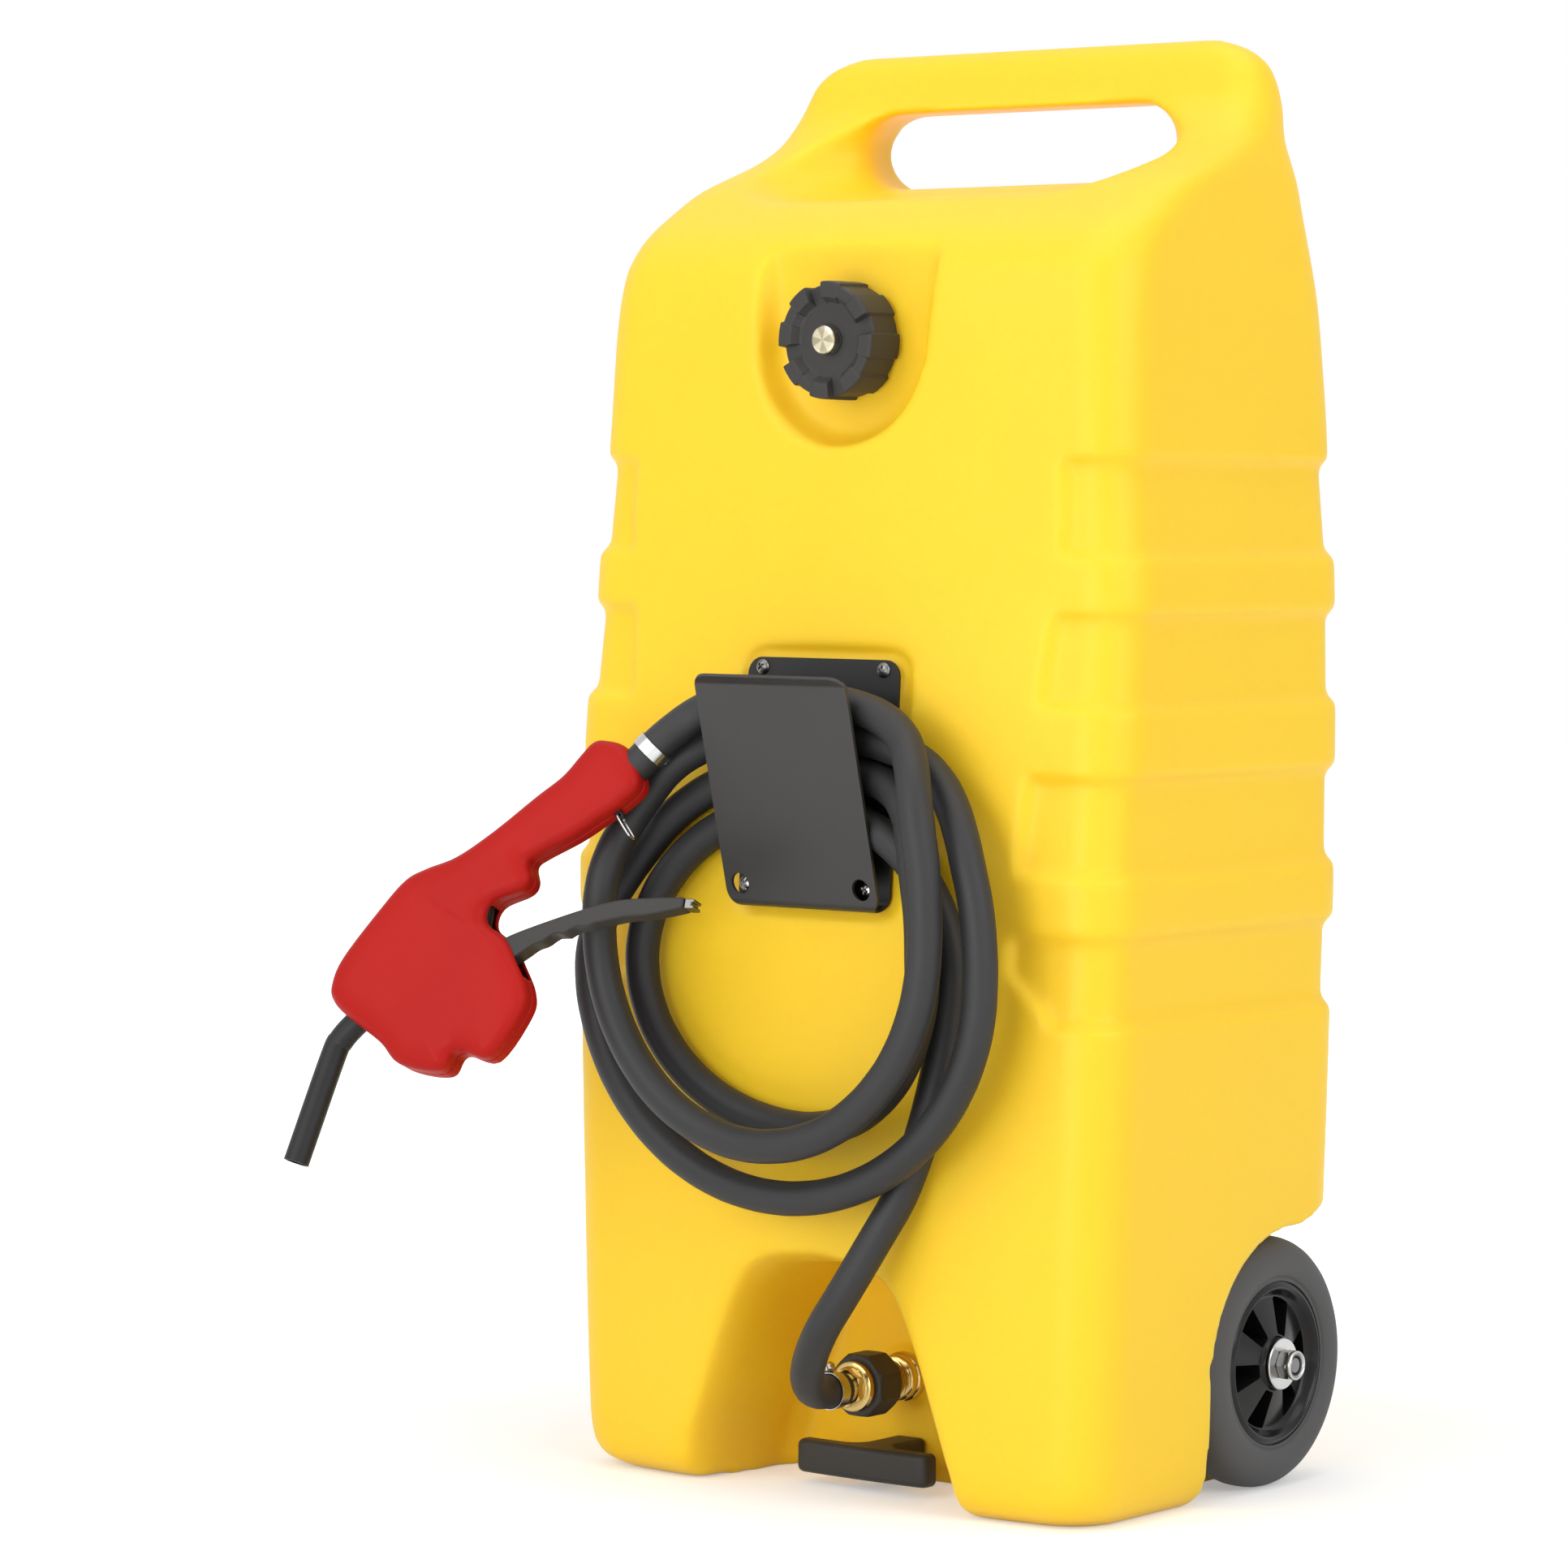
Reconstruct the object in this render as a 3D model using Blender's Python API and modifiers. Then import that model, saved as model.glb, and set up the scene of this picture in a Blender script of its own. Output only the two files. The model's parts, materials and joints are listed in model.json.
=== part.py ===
"""Two-wheeled fuel caddy: a blow-moulded tank with its cap, hose, hand nozzle and outlet fittings.

+X is to the right seen from the front, the front faces -Y and +Z is up. The origin is on the
ground, in the middle of the tank's flat underside. Sizes are in metres.
"""
import math

import bmesh
import bpy
import numpy as np
from mathutils import Matrix, Vector

# Tank
TANK_WIDTH = 0.480
TANK_DEPTH = 0.308
TANK_HEIGHT = 1.021
TANK_FRONT = -0.150
CORNER_RADIUS = 0.040
WALL = 0.0045
CROWN_SHARE = 0.032
# Each station: height, half width, setback of the front and setback of the back, as shares
STATION_SHARES = (
    (0.000, 0.868, 0.071, 0.071),
    (0.007, 0.913, 0.026, 0.029),
    (0.020, 0.940, 0.005, 0.007),
    (0.040, 0.950, 0.000, 0.000),
    (0.200, 0.977, 0.000, 0.000),
    (0.332, 0.992, 0.000, 0.000),
    (0.430, 1.000, 0.000, 0.000),
    (0.529, 1.000, 0.023, 0.000),
    (0.627, 0.992, 0.058, 0.000),
    (0.725, 0.960, 0.068, 0.000),
    (0.793, 0.948, 0.078, 0.016),
    (0.820, 0.943, 0.089, 0.027),
    (0.838, 0.938, 0.104, 0.039),
    (0.852, 0.934, 0.133, 0.050),
    (0.866, 0.930, 0.179, 0.062),
    (0.881, 0.924, 0.252, 0.072),
    (0.910, 0.908, 0.448, 0.091),
    (0.921, 0.898, 0.545, 0.101),
    (0.940, 0.880, 0.655, 0.110),
    (0.964, 0.848, 0.728, 0.118),
    (0.980, 0.818, 0.745, 0.127),
    (0.989, 0.775, 0.758, 0.137),
    (0.995, 0.725, 0.772, 0.149),
    (1.000, 0.650, 0.796, 0.171),
)
# Plain rings between the stations of the tank's lower part and under the shoulder
RING_SHARES = (0.120, 0.760)

# Recessed bands round the sides: bottom and top height of each, as shares of the tank's height
BAND_SHARES = ((0.332, 0.397), (0.4315, 0.502), (0.542, 0.6095), (0.6415, 0.712))
BAND_DEPTH = 0.007
BAND_SLOPE = 0.008
# Where the bands end on the front: (height, half width) shares, read from top to bottom
BAND_END_SHARES = ((0.335, 0.800), (0.370, 0.650), (0.712, 0.785))
BAND_BACK_SHARE = 0.62

# Hollow inside the tank: its rings' heights, as shares of the height of the handle's opening
ROOM_SHARES = (0.0152, 0.0542, 0.477, 0.586, 0.694, 0.803, 0.8785, 0.928, 0.959, 0.976)

# Carrying handle: the bar over the opening, the opening, and how much it grows at depths along Y
HANDLE_BAR = 0.045
HANDLE_HOLE_HALF = 0.134
HANDLE_HOLE_SIZE = 0.054
HANDLE_HOLE_HIGH = TANK_HEIGHT - HANDLE_BAR
HANDLE_HOLE_LOW = HANDLE_HOLE_HIGH - HANDLE_HOLE_SIZE
HANDLE_HOLE_FLARES = ((-0.12, 0.020), (0.000, 0.012), (0.045, 0.004), (0.080, 0.000),
                      (0.110, 0.001), (0.200, 0.014))

# Filler recess, neck and cap
FILLER_SHARE = 0.78844
FILLER_HEIGHT = FILLER_SHARE * TANK_HEIGHT
RECESS_RADIUS = 0.068
# Each ring of the recess: its distance along Y and how much wider it is than at the cap
RECESS_FLARES = ((-0.200, 0.018), (-0.128, 0.003), (-0.120, 0.000), (-0.115, -0.004))
RECESS_FLOOR = RECESS_FLARES[-1][0]
RECESS_TOP = 0.110
RECESS_SPREAD = 0.012
NECK_RADIUS = 0.031
NECK_BORE = 0.025
NECK_LENGTH = 0.0245
CAP_RADIUS = 0.041
CAP_DEPTH = 0.034
CAP_FRONT = -0.152
CAP_BORE = 0.0335
CAP_WEB = 0.0035
CAP_DISH_RADIUS = 0.030
CAP_DISH_DEPTH = 0.004
CAP_EDGE = 0.0025
CAP_SLOPE = 0.0010
CAP_BOSS_RADIUS = 0.011
CAP_BOSS_HEIGHT = 0.002
CAP_NOTCHES = 6
CAP_NOTCH_WIDTH = 0.012
CAP_NOTCH_DEPTH = 0.0045
VENT_KNOB_RADIUS = 0.0100
VENT_KNOB_LENGTH = 0.0065
VENT_KNOB_EDGE = 0.0010
VENT_DIMPLE_RADIUS = 0.003
VENT_DIMPLE_DEPTH = 0.0012
VENT_STEM_RADIUS = 0.0035
VENT_STEM_PAST = 0.004
VENT_SEAL_RADIUS = 0.0078
VENT_SEAL_THICKNESS = 0.0012
GASKET_MARGIN = 0.001

# Hose bracket
BRACKET_WIDTH = 0.131
BRACKET_HEIGHT = 0.172
BRACKET_BOTTOM = 0.414
BRACKET_REAR = -0.158
BRACKET_LEAN = math.radians(3.5)
SHEET = 0.0025
CHANNEL = 0.0100
FLAP_LEAN = math.radians(18.0)
FLAP_HEIGHT = 0.154
LIP_LENGTH = 0.009
LIP_LEAN = math.radians(52)
BRACKET_CORNER = 0.012
SCREW_SPAN_X = 0.105
SCREW_LOW = 0.0140
SCREW_SPAN_Z = 0.151
SCREW_HEAD_RADIUS = 0.0055
# Each ring of a screw's head: share of its radius, and height over the sheet
SCREW_HEAD = ((0.00, 0.0024), (0.55, 0.0021), (0.90, 0.0010), (1.00, 0.0000))
SCREW_RADIUS = 0.0025
SCREW_DEPTH = 0.0018
ACCESS_HOLE_RADIUS = 0.0070
ACCESS_HOLE_DEPTH = 0.040
POCKET_MARGIN = 0.009
POCKET_BLOCK = 0.040

# How far cutters run on past what they cut, and the distance at which points are welded
CUT_REACH = 0.010
CUT_FRONT = -0.200
BELOW_GROUND = 0.020
WELD = 0.00001

# Outlet: the alcove between the front legs and the fittings along Y
ALCOVE_FLARES = ((-0.220, 0.020), (-0.152, 0.006), (-0.135, 0.000), (-0.055, -0.008), (-0.040, -0.018))
ALCOVE_BACK = ALCOVE_FLARES[-1][0]
ALCOVE_HEIGHT = 0.166
ALCOVE_HALF_WIDTHS = ((-0.020, 0.113), (0.020, 0.110), (0.072, 0.092), (0.120, 0.074),
                      (0.148, 0.059), (0.162, 0.040))
OUTLET_HEIGHT = 0.075
OUTLET_BORE = 0.0125
FLOW_BORE = 0.0065
OUTLET_SEAL_MARGIN = 0.002
OUTLET_SEAL_THICKNESS = 0.0016
LOCKNUT_RADIUS = 0.020
LOCKNUT_LENGTH = 0.008
LOCKNUT_GAP = 0.002
SHANK_PAST = 0.004
BOSS_RADIUS = 0.0185
BOSS_LENGTH = 0.008
FITTING_RADIUS = 0.0165
FITTING_LENGTH = 0.031
FITTING_TAPER = 0.003
FITTING_TAPER_LENGTH = 0.008
FITTING_FLANGE = 0.003
FITTING_FLANGE_MARGIN = 0.001
NUT_RADIUS = 0.0235
NUT_LENGTH = 0.026
NUT_RIM = 0.0022
NUT_HOLE = 0.0115
# The hose adapter's outer side, as (radius, height) from its end at the hose
ADAPTER_OUTLINE = ((0.0105, 0.0160), (0.0135, 0.0120), (0.0135, 0.0075), (0.0168, 0.0065),
                   (0.0178, 0.0045), (0.0178, 0.0000))
GUARD_LENGTH = 0.115
GUARD_EDGE = 0.0025
GUARD_THICKNESS = 0.018
GUARD_FRONT = -0.105
GUARD_LOW = 0.0075
GUARD_HIGH = 0.031
GUARD_ARM = 0.032

# Wheels and axle
WHEEL_RADIUS = 0.089
TYRE_WIDTH = 0.044
# The tyre's section: (out from the rim, in from the side), then (in from the tread, in from the side)
TYRE_BEAD = ((0.0000, 0.0035), (0.0040, 0.0035), (0.0060, 0.0010))
TYRE_SHOULDER = ((0.0180, 0.0000), (0.0080, 0.0020), (0.0022, 0.0075), (0.0000, 0.0150))
RIM_RADIUS = 0.0578
# The rim's lip: (in from the rim's radius, in from the side)
RIM_LIP = ((0.0060, 0.0020), (0.0000, 0.0035))
WEB_FRONT = 0.0140
WEB_BACK = 0.0300
WEB_EDGE = 0.0085
HUB_RADIUS = 0.0185
HUB_EDGE = 0.0020
HUB_EDGE_DEPTH = 0.0030
SPOKES = 6
WINDOW_DEPTH = 0.0260
WINDOW_INNER = 0.0020
WINDOW_OUTER = 0.0105
WINDOW_SHARE = 0.25
AXLE_Y = 0.094
AXLE_RADIUS = 0.00635
WHEEL_FACE = 0.222
WELL_GAP = 0.009
WELL_FRONT = -0.002
WELL_INNER = 0.168
WELL_REAR = ((0.135, 0.197), (0.200, 0.207))
AXLE_SLEEVE = 0.006
# The slope under the tank's rear edge: its front and rear ends
HEEL_SLOPE = ((0.098, -0.001), (0.200, 0.078))
WASHER_RADIUS = 0.0183
WASHER_THICKNESS = 0.0022
WASHER_GAP = 0.001
NUT_FLATS = 0.019
NUT_DEPTH = 0.011
NUT_EDGE = 0.0007
COLLAR_STEP = 0.001

# Hose: outside diameter, loops hung in the bracket, and clearances
HOSE_RADIUS = 0.0120
LOOP_STEPS = 24
# Each loop: reach left, reach right, height of its middle, height of its bottom
LOOP_SIZES = ((0.142, 0.122, 0.372, 0.262),
              (0.168, 0.170, 0.372, 0.216),
              (0.140, 0.142, 0.400, 0.254))
# How square each loop's upper left and upper right are: 2 is an ellipse
LOOP_POWERS = ((1.95, 3.0), (2.05, 2.5), (2.9, 2.8))
# Height of each pass through the bracket, in the order of the hose
PASS_HEIGHTS = (0.4840, 0.5105, 0.5355, 0.5585)
# Distance in front of the origin along the loops: (turn, Y)
LOOP_LAYERS = ((0.00, -0.1697), (0.08, -0.1697), (0.25, -0.1725), (0.45, -0.1725), (0.72, -0.1980),
               (0.80, -0.1980), (0.93, -0.1700), (1.00, -0.1690), (1.10, -0.1690), (1.145, -0.1700),
               (1.26, -0.1975), (1.80, -0.1975), (1.93, -0.1680), (2.00, -0.1735), (2.08, -0.1755),
               (2.12, -0.1825), (2.15, -0.1875), (2.25, -0.2225), (2.80, -0.2225), (2.93, -0.1845),
               (3.00, -0.1845))
TAIL_REACH = 0.1265
TAIL_ROUTE = ((0.1262, -0.1715, 0.370), (0.1200, -0.1715, 0.325), (0.1075, -0.1722, 0.275),
              (0.0899, -0.1750, 0.226), (0.0730, -0.1850, 0.190), (0.0542, -0.1930, 0.155),
              (0.0340, -0.1935, 0.125), (0.0150, -0.1820, 0.0980), (0.0040, -0.1650, 0.0815),
              (0.0000, -0.1470, 0.0755), (0.0000, -0.1330, 0.0750))
LEAD_ROUTE = ((-0.032, -0.1850, 0.5585), (-0.058, -0.1870, 0.5550), (-0.077, -0.1900, 0.5475),
              (-0.0900, -0.1960, 0.5380))
GAP = 0.0003
CLAMPED_LENGTH = 0.018
CLAMP_WIDTH = 0.009
CLAMP_THICKNESS = 0.0009
CLAMP_OFFSET = 0.006
CLAMP_HOUSING = (0.006, 0.010, 0.010)
CLAMP_EDGE = 0.0008

# Nozzle: the frame at the rear of the grip, and the cover's outline in it
NOZZLE_REAR = (-0.113, -0.212, 0.513)
NOZZLE_YAW = math.radians(12)
NOZZLE_TILT = math.radians(20)
COVER_LENGTH = 0.250
COVER_OUTLINE_SHARES = (
    (-0.100, 0.048), (-0.027, 0.026), (0.028, -0.067), (-0.011, -0.127), (-0.085, -0.183),
    (-0.152, -0.232), (-0.249, -0.288), (-0.275, -0.312), (-0.261, -0.358), (-0.280, -0.394),
    (-0.362, -0.433), (-0.369, -0.492), (-0.304, -0.536), (-0.262, -0.593), (-0.214, -0.672),
    (-0.214, -0.742), (-0.290, -0.873), (-0.395, -0.862), (-0.434, -0.922), (-0.566, -0.910),
    (-0.640, -0.851), (-0.762, -0.780), (-0.809, -0.742), (-0.825, -0.700), (-0.805, -0.616),
    (-0.710, -0.463), (-0.648, -0.380), (-0.587, -0.344), (-0.498, -0.306), (-0.399, -0.231),
    (-0.285, -0.123), (-0.212, -0.059), (-0.166, 0.004), (-0.136, 0.040),
)
COVER_HALF = 0.0185
GRIP_HALF = 0.0160
GRIP_END = 0.060
GRIP_EASE = 0.050
COVER_WALL = 0.0028
COVER_ROUND = 0.0065
LEVER_SLOT = (0.062, 0.050)
LEVER_SLOT_CENTRE = (-0.080, -0.135)
LEVER_SLOT_PLAY = 0.003
LEVER_SLOT_EDGE = 0.002
HOSE_ENTRY = (0.0015, 0.0005)
ENTRY_ANGLE = math.radians(49.6)
SWIVEL_RADIUS = 0.0098
SWIVEL_LENGTH = 0.0175
SWIVEL_PLAY = 0.001
CASTING_RADIUS = 0.0090
CASTING_ROUTE = ((-0.031, -0.0285), (-0.060, -0.048), (-0.087, -0.075),
                 (-0.118, -0.106), (-0.146, -0.142), (-0.168, -0.176), (-0.180, -0.190))
SPOUT_RADIUS = 0.0091
SPOUT_BORE = 0.0076
SPOUT_ROUTE = ((-0.1803, -0.1906), (-0.1900, -0.2010), (-0.1970, -0.2110), (-0.2010, -0.2230),
               (-0.2150, -0.3000))
SPOUT_WEB = 0.008
MOUTH_ROUTE = ((-0.1603, -0.1686), (-0.1940, -0.2070))
MOUTH_PLAY = 0.0012
LEVER_PIVOT = (-0.118, -0.160)
LEVER_HALF = 0.0080
LEVER_HUB_RADIUS = 0.0075
LEVER_ROUND = 0.0018
LEVER_TOP = ((-0.1030, -0.1505), (-0.0900, -0.1425), (-0.0770, -0.1326), (-0.0540, -0.1225),
             (-0.0185, -0.1093), (0.0056, -0.1025), (0.0302, -0.0998), (0.0560, -0.0982))
LEVER_BOTTOM = ((0.0560, -0.1060), (0.0300, -0.1120), (0.0084, -0.1150), (-0.0276, -0.1250),
                (-0.0500, -0.1345), (-0.0640, -0.1440), (-0.0850, -0.1600))
TIP_SIZE = (0.0070, 0.0120, 0.0068)
TIP_CENTRE = (0.0598, -0.1025)
TIP_EDGE = 0.001
PIN_RADIUS = 0.0025
PIN_HALF = 0.0135
PIN_BOSS_RADIUS = 0.0065
PIN_BOSS_PLAY = 0.001
STEM_U = -0.103
CHAMBER_RADIUS = 0.0088
CHAMBER_BORE = 0.0060
CHAMBER_LOW = -0.130
CHAMBER_HIGH = -0.072
CHAMBER_ROOF = 0.004
PACKING_DEPTH = 0.008
PACKING_FLANGE = 0.003
POPPET_HEIGHT = -0.106
POPPET_THICKNESS = 0.004
POPPET_EDGE = 0.001
STEM_RADIUS = 0.0025
STEM_FOOT = -0.1445
LATCH_PIVOT = (-0.0076, -0.0404)
LATCH_LUG_ANGLE = math.radians(142.6)
LATCH_WIRE = 0.0009
LUG_SIZE = (0.006, 0.004, 0.020)
LUG_OFFSET = -0.0072
LUG_EDGE = 0.0008
# One side of the latch's wire loop, from its pivot to its far end
LATCH_SIDE = ((0.0000, 0.0040, 0.0000), (0.0030, 0.0050, -0.0020), (0.0140, 0.0035, -0.0095),
              (0.0162, 0.0015, -0.0110))

PARTS = bpy.data.collections.new("fuel_caddy")
CUTTERS = bpy.data.collections.new("fuel_caddy_cutters")

# Colour, roughness and metallic value of each material
LOOKS = {
    "tank_plastic": ((0.96, 0.63, 0.05), 0.42, 0.0),
    "black_plastic": ((0.035, 0.035, 0.037), 0.50, 0.0),
    "rubber": ((0.030, 0.030, 0.031), 0.62, 0.0),
    "tyre": ((0.055, 0.055, 0.057), 0.66, 0.0),
    "rim_plastic": ((0.018, 0.018, 0.019), 0.30, 0.0),
    "red_cover": ((0.52, 0.018, 0.014), 0.38, 0.0),
    "black_steel": ((0.055, 0.052, 0.050), 0.48, 0.6),
    "zinc": ((0.60, 0.62, 0.63), 0.28, 1.0),
    "brass": ((0.72, 0.52, 0.26), 0.24, 1.0),
    "dark_metal": ((0.060, 0.060, 0.062), 0.45, 0.7),
}


def clear_scene():
    for obj in list(bpy.data.objects):
        bpy.data.objects.remove(obj)
    for collection in (PARTS, CUTTERS):
        bpy.context.scene.collection.children.link(collection)


def make_materials():
    made = {}
    for name, (colour, roughness, metallic) in LOOKS.items():
        material = bpy.data.materials.new(name)
        material.use_nodes = True
        shader = material.node_tree.nodes["Principled BSDF"]
        shader.inputs["Base Color"].default_value = (*colour, 1.0)
        shader.inputs["Roughness"].default_value = roughness
        shader.inputs["Metallic"].default_value = metallic
        made[name] = material
    return made


def add_frame(name, matrix, parent=None):
    """An empty that places the pieces modelled in its own axes."""
    frame = bpy.data.objects.new(name, None)
    frame.empty_display_size = WALL
    PARTS.objects.link(frame)
    frame.parent = parent
    frame.matrix_local = matrix
    return frame


def add_piece(name, data, look, parent=None):
    piece = bpy.data.objects.new(name, data)
    PARTS.objects.link(piece)
    piece.parent = parent
    data.materials.append(MATERIALS[look])
    return piece


def add_cutter(name, data, parent=None):
    cutter = bpy.data.objects.new(name, data)
    CUTTERS.objects.link(cutter)
    cutter.parent = parent
    cutter.hide_render = True
    cutter.display_type = "WIRE"
    return cutter


def boolean(piece, other, operation="DIFFERENCE"):
    modifier = piece.modifiers.new(f"{operation.lower()}_{other.name}", "BOOLEAN")
    modifier.operation = operation
    modifier.solver = "EXACT"
    modifier.object = other


def loft(name, rings):
    """A closed mesh through rings of equally many points."""
    shape = bmesh.new()
    rows = [[shape.verts.new(point) for point in ring] for ring in rings]
    count = len(rows[0])
    for lower, upper in zip(rows, rows[1:]):
        for index in range(count):
            after = (index + 1) % count
            shape.faces.new((lower[index], lower[after], upper[after], upper[index]))
    shape.faces.new(list(reversed(rows[0])))
    shape.faces.new(rows[-1])
    bmesh.ops.recalc_face_normals(shape, faces=shape.faces)
    return finish_mesh(name, shape)


def finish_mesh(name, shape, sharp=math.radians(38)):
    mesh = bpy.data.meshes.new(name)
    shape.to_mesh(mesh)
    shape.free()
    mesh.shade_smooth()
    mesh.set_sharp_from_angle(angle=sharp)
    return mesh


def baked(piece):
    """The piece's evaluated mesh, welded, with its modifiers or curve settings applied."""
    graph = bpy.context.evaluated_depsgraph_get()
    mesh = bpy.data.meshes.new_from_object(piece.evaluated_get(graph))
    shape = bmesh.new()
    shape.from_mesh(mesh)
    bmesh.ops.remove_doubles(shape, verts=shape.verts, dist=WELD / 2)
    bmesh.ops.recalc_face_normals(shape, faces=shape.faces)
    bpy.data.meshes.remove(mesh)
    bpy.data.objects.remove(piece)
    return finish_mesh("baked", shape)


def turned(profile, steps, closed=False):
    """A mesh turned about local Z from (radius, height) points that run down its outer side."""
    mesh = bpy.data.meshes.new("profile")
    edges = [(index, index + 1) for index in range(len(profile) - 1)]
    if closed:
        edges.append((len(profile) - 1, 0))
    mesh.from_pydata([(radius, 0, height) for radius, height in profile], edges, [])
    piece = bpy.data.objects.new("profile", mesh)
    PARTS.objects.link(piece)
    screw = piece.modifiers.new("turn", "SCREW")
    screw.axis = "Z"
    screw.steps = steps
    screw.render_steps = steps
    screw.use_merge_vertices = True
    screw.merge_threshold = WELD
    return baked(piece)


def disc(radius, low, high, steps, bevel=0.0):
    return turned([(0, high), (radius - bevel, high), (radius, high - bevel),
                   (radius, low + bevel), (radius - bevel, low), (0, low)] if bevel else
                  [(0, high), (radius, high), (radius, low), (0, low)], steps)


def ring(inner, outer, low, high, steps):
    return turned([(inner, high), (outer, high), (outer, low), (inner, low)], steps, closed=True)


def tube(points, radius, resolution, cyclic=False):
    """A round bar along the points, with its ends capped."""
    curve = bpy.data.curves.new("route", "CURVE")
    curve.dimensions = "3D"
    curve.bevel_depth = radius
    curve.bevel_resolution = resolution
    curve.use_fill_caps = not cyclic
    spline = curve.splines.new("POLY")
    spline.points.add(len(points) - 1)
    for target, point in zip(spline.points, points):
        target.co = (*point, 1.0)
    spline.use_cyclic_u = cyclic
    piece = bpy.data.objects.new("route", curve)
    PARTS.objects.link(piece)
    return baked(piece)


def block(size, centre, bevel=0.0):
    shape = bmesh.new()
    bmesh.ops.create_cube(shape, size=1.0)
    bmesh.ops.scale(shape, vec=size, verts=shape.verts)
    bmesh.ops.translate(shape, vec=centre, verts=shape.verts)
    if bevel:
        bmesh.ops.bevel(shape, geom=shape.edges, offset=bevel, segments=2, affect="EDGES",
                        profile=0.5)
    return finish_mesh("block", shape)


def prism(outline, low, high, bevel=0.0, steps=0):
    """An outline in local XY, given height along local Z, with chamfered or rounded rims."""
    rings = [[(x, y, low) for x, y in inset(outline, bevel)]]
    for step in range(1, steps + 2):
        angle = math.pi / 2 * step / (steps + 1)
        shrink = bevel * (1 - math.sin(angle))
        level = low + bevel * (1 - math.cos(angle))
        rings.append([(x, y, level) for x, y in inset(outline, shrink)])
    mirrored = [[(x, y, low + high - z) for x, y, z in one] for one in reversed(rings)]
    return loft("prism", rings + mirrored if bevel else [rings[0], mirrored[-1]])


def inset(outline, distance):
    """The outline moved inwards by a distance, corner by corner."""
    points = np.array(outline)
    before = points - np.roll(points, 1, axis=0)
    after = np.roll(points, -1, axis=0) - points
    area = np.sum(points[:, 0] * np.roll(points[:, 1], -1) - np.roll(points[:, 0], -1) * points[:, 1])
    turn = 1.0 if area > 0 else -1.0
    normals = []
    for first, second in zip(before, after):
        first = first / np.linalg.norm(first)
        second = second / np.linalg.norm(second)
        along = first + second
        across = turn * np.array((-along[1], along[0])) / np.linalg.norm(along)
        normals.append(across / max(abs(np.dot(along / np.linalg.norm(along), first)), 0.6))
    return (points + np.array(normals) * distance).tolist()


def smooth_closed(points, count):
    """Points along a closed Catmull-Rom curve, count for each of the given ones."""
    points = np.array(points)
    return spline_points(np.vstack([points[-1:], points, points[:2]]), count)[:-1]


def smooth_open(points, count):
    points = np.array(points)
    ends = np.vstack([2 * points[0] - points[1], points, 2 * points[-1] - points[-2]])
    return spline_points(ends, count)


def spline_points(points, count):
    found = []
    for start in range(len(points) - 3):
        p0, p1, p2, p3 = points[start:start + 4]
        for step in range(count):
            t = step / count
            found.append(0.5 * (2 * p1 + (p2 - p0) * t + (2 * p0 - 5 * p1 + 4 * p2 - p3) * t ** 2
                                + (3 * p1 - p0 - 3 * p2 + p3) * t ** 3))
    found.append(points[-2])
    return [tuple(float(value) for value in point) for point in found]


# Axes whose local +Z points forwards, to the left or to the right
FACING_FRONT = Matrix.Rotation(math.radians(90), 4, "X")
FACING_RIGHT = Matrix.Rotation(math.radians(90), 4, "Y")
FACING_LEFT = Matrix.Rotation(math.radians(-90), 4, "Y")


# The tank
def tank_section(height):
    """Half width, front and back of the tank at this height."""
    share = height / TANK_HEIGHT
    stations = np.array(STATION_SHARES)
    columns = (1, 2, 3)
    half, front, back = (np.interp(share, stations[:, 0], stations[:, column]) for column in columns)
    return (half * TANK_WIDTH / 2, TANK_FRONT + front * TANK_DEPTH,
            TANK_FRONT + (1 - back) * TANK_DEPTH)


def band_end(height):
    """How far from the middle the recessed bands end on the tank's front."""
    ends = np.array(BAND_END_SHARES)
    return float(np.interp(height / TANK_HEIGHT, ends[:, 0], ends[:, 1])) * TANK_WIDTH / 2


def tank_ring(height, shrink=0.0, recess=0.0):
    """One level ring of the tank's wall, with the bands' recess pressed into its sides."""
    half, front, back = tank_section(height)
    half, front, back = half - shrink, front + shrink, back - shrink
    radius = min(CORNER_RADIUS, (back - front) * 0.48)
    crown = CROWN_SHARE * (back - front)
    flat = half - radius
    end = min(band_end(height), flat - BAND_SLOPE * 1.3)
    back_end = BAND_BACK_SHARE * flat
    columns = []
    for x in (0, end / 2, end, end + BAND_SLOPE, flat):
        columns.append((x, front - crown * (1 - (x / flat) ** 2), 0, -1, x > end))
    for step in range(1, 6):
        angle = math.radians(-90 + 18 * step)
        columns.append((flat + radius * math.cos(angle), front + radius + radius * math.sin(angle),
                        math.cos(angle), math.sin(angle), True))
    span = back - front - 2 * radius
    columns.append((half, front + radius + span / 2, 1, 0, True))
    for step in range(0, 5):
        angle = math.radians(22.5 * step)
        columns.append((flat + radius * math.cos(angle), back - radius + radius * math.sin(angle),
                        math.cos(angle), math.sin(angle), True))
    for x in (back_end + BAND_SLOPE, back_end, 0):
        columns.append((x, back, 0, 1, x > back_end))
    depth = recess * BAND_DEPTH
    right = [(x - nx * depth * pressed, y - ny * depth * pressed, height)
             for x, y, nx, ny, pressed in columns]
    left = [(-x, y, z) for x, y, z in reversed(right[1:-1])]
    return right + left


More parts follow.
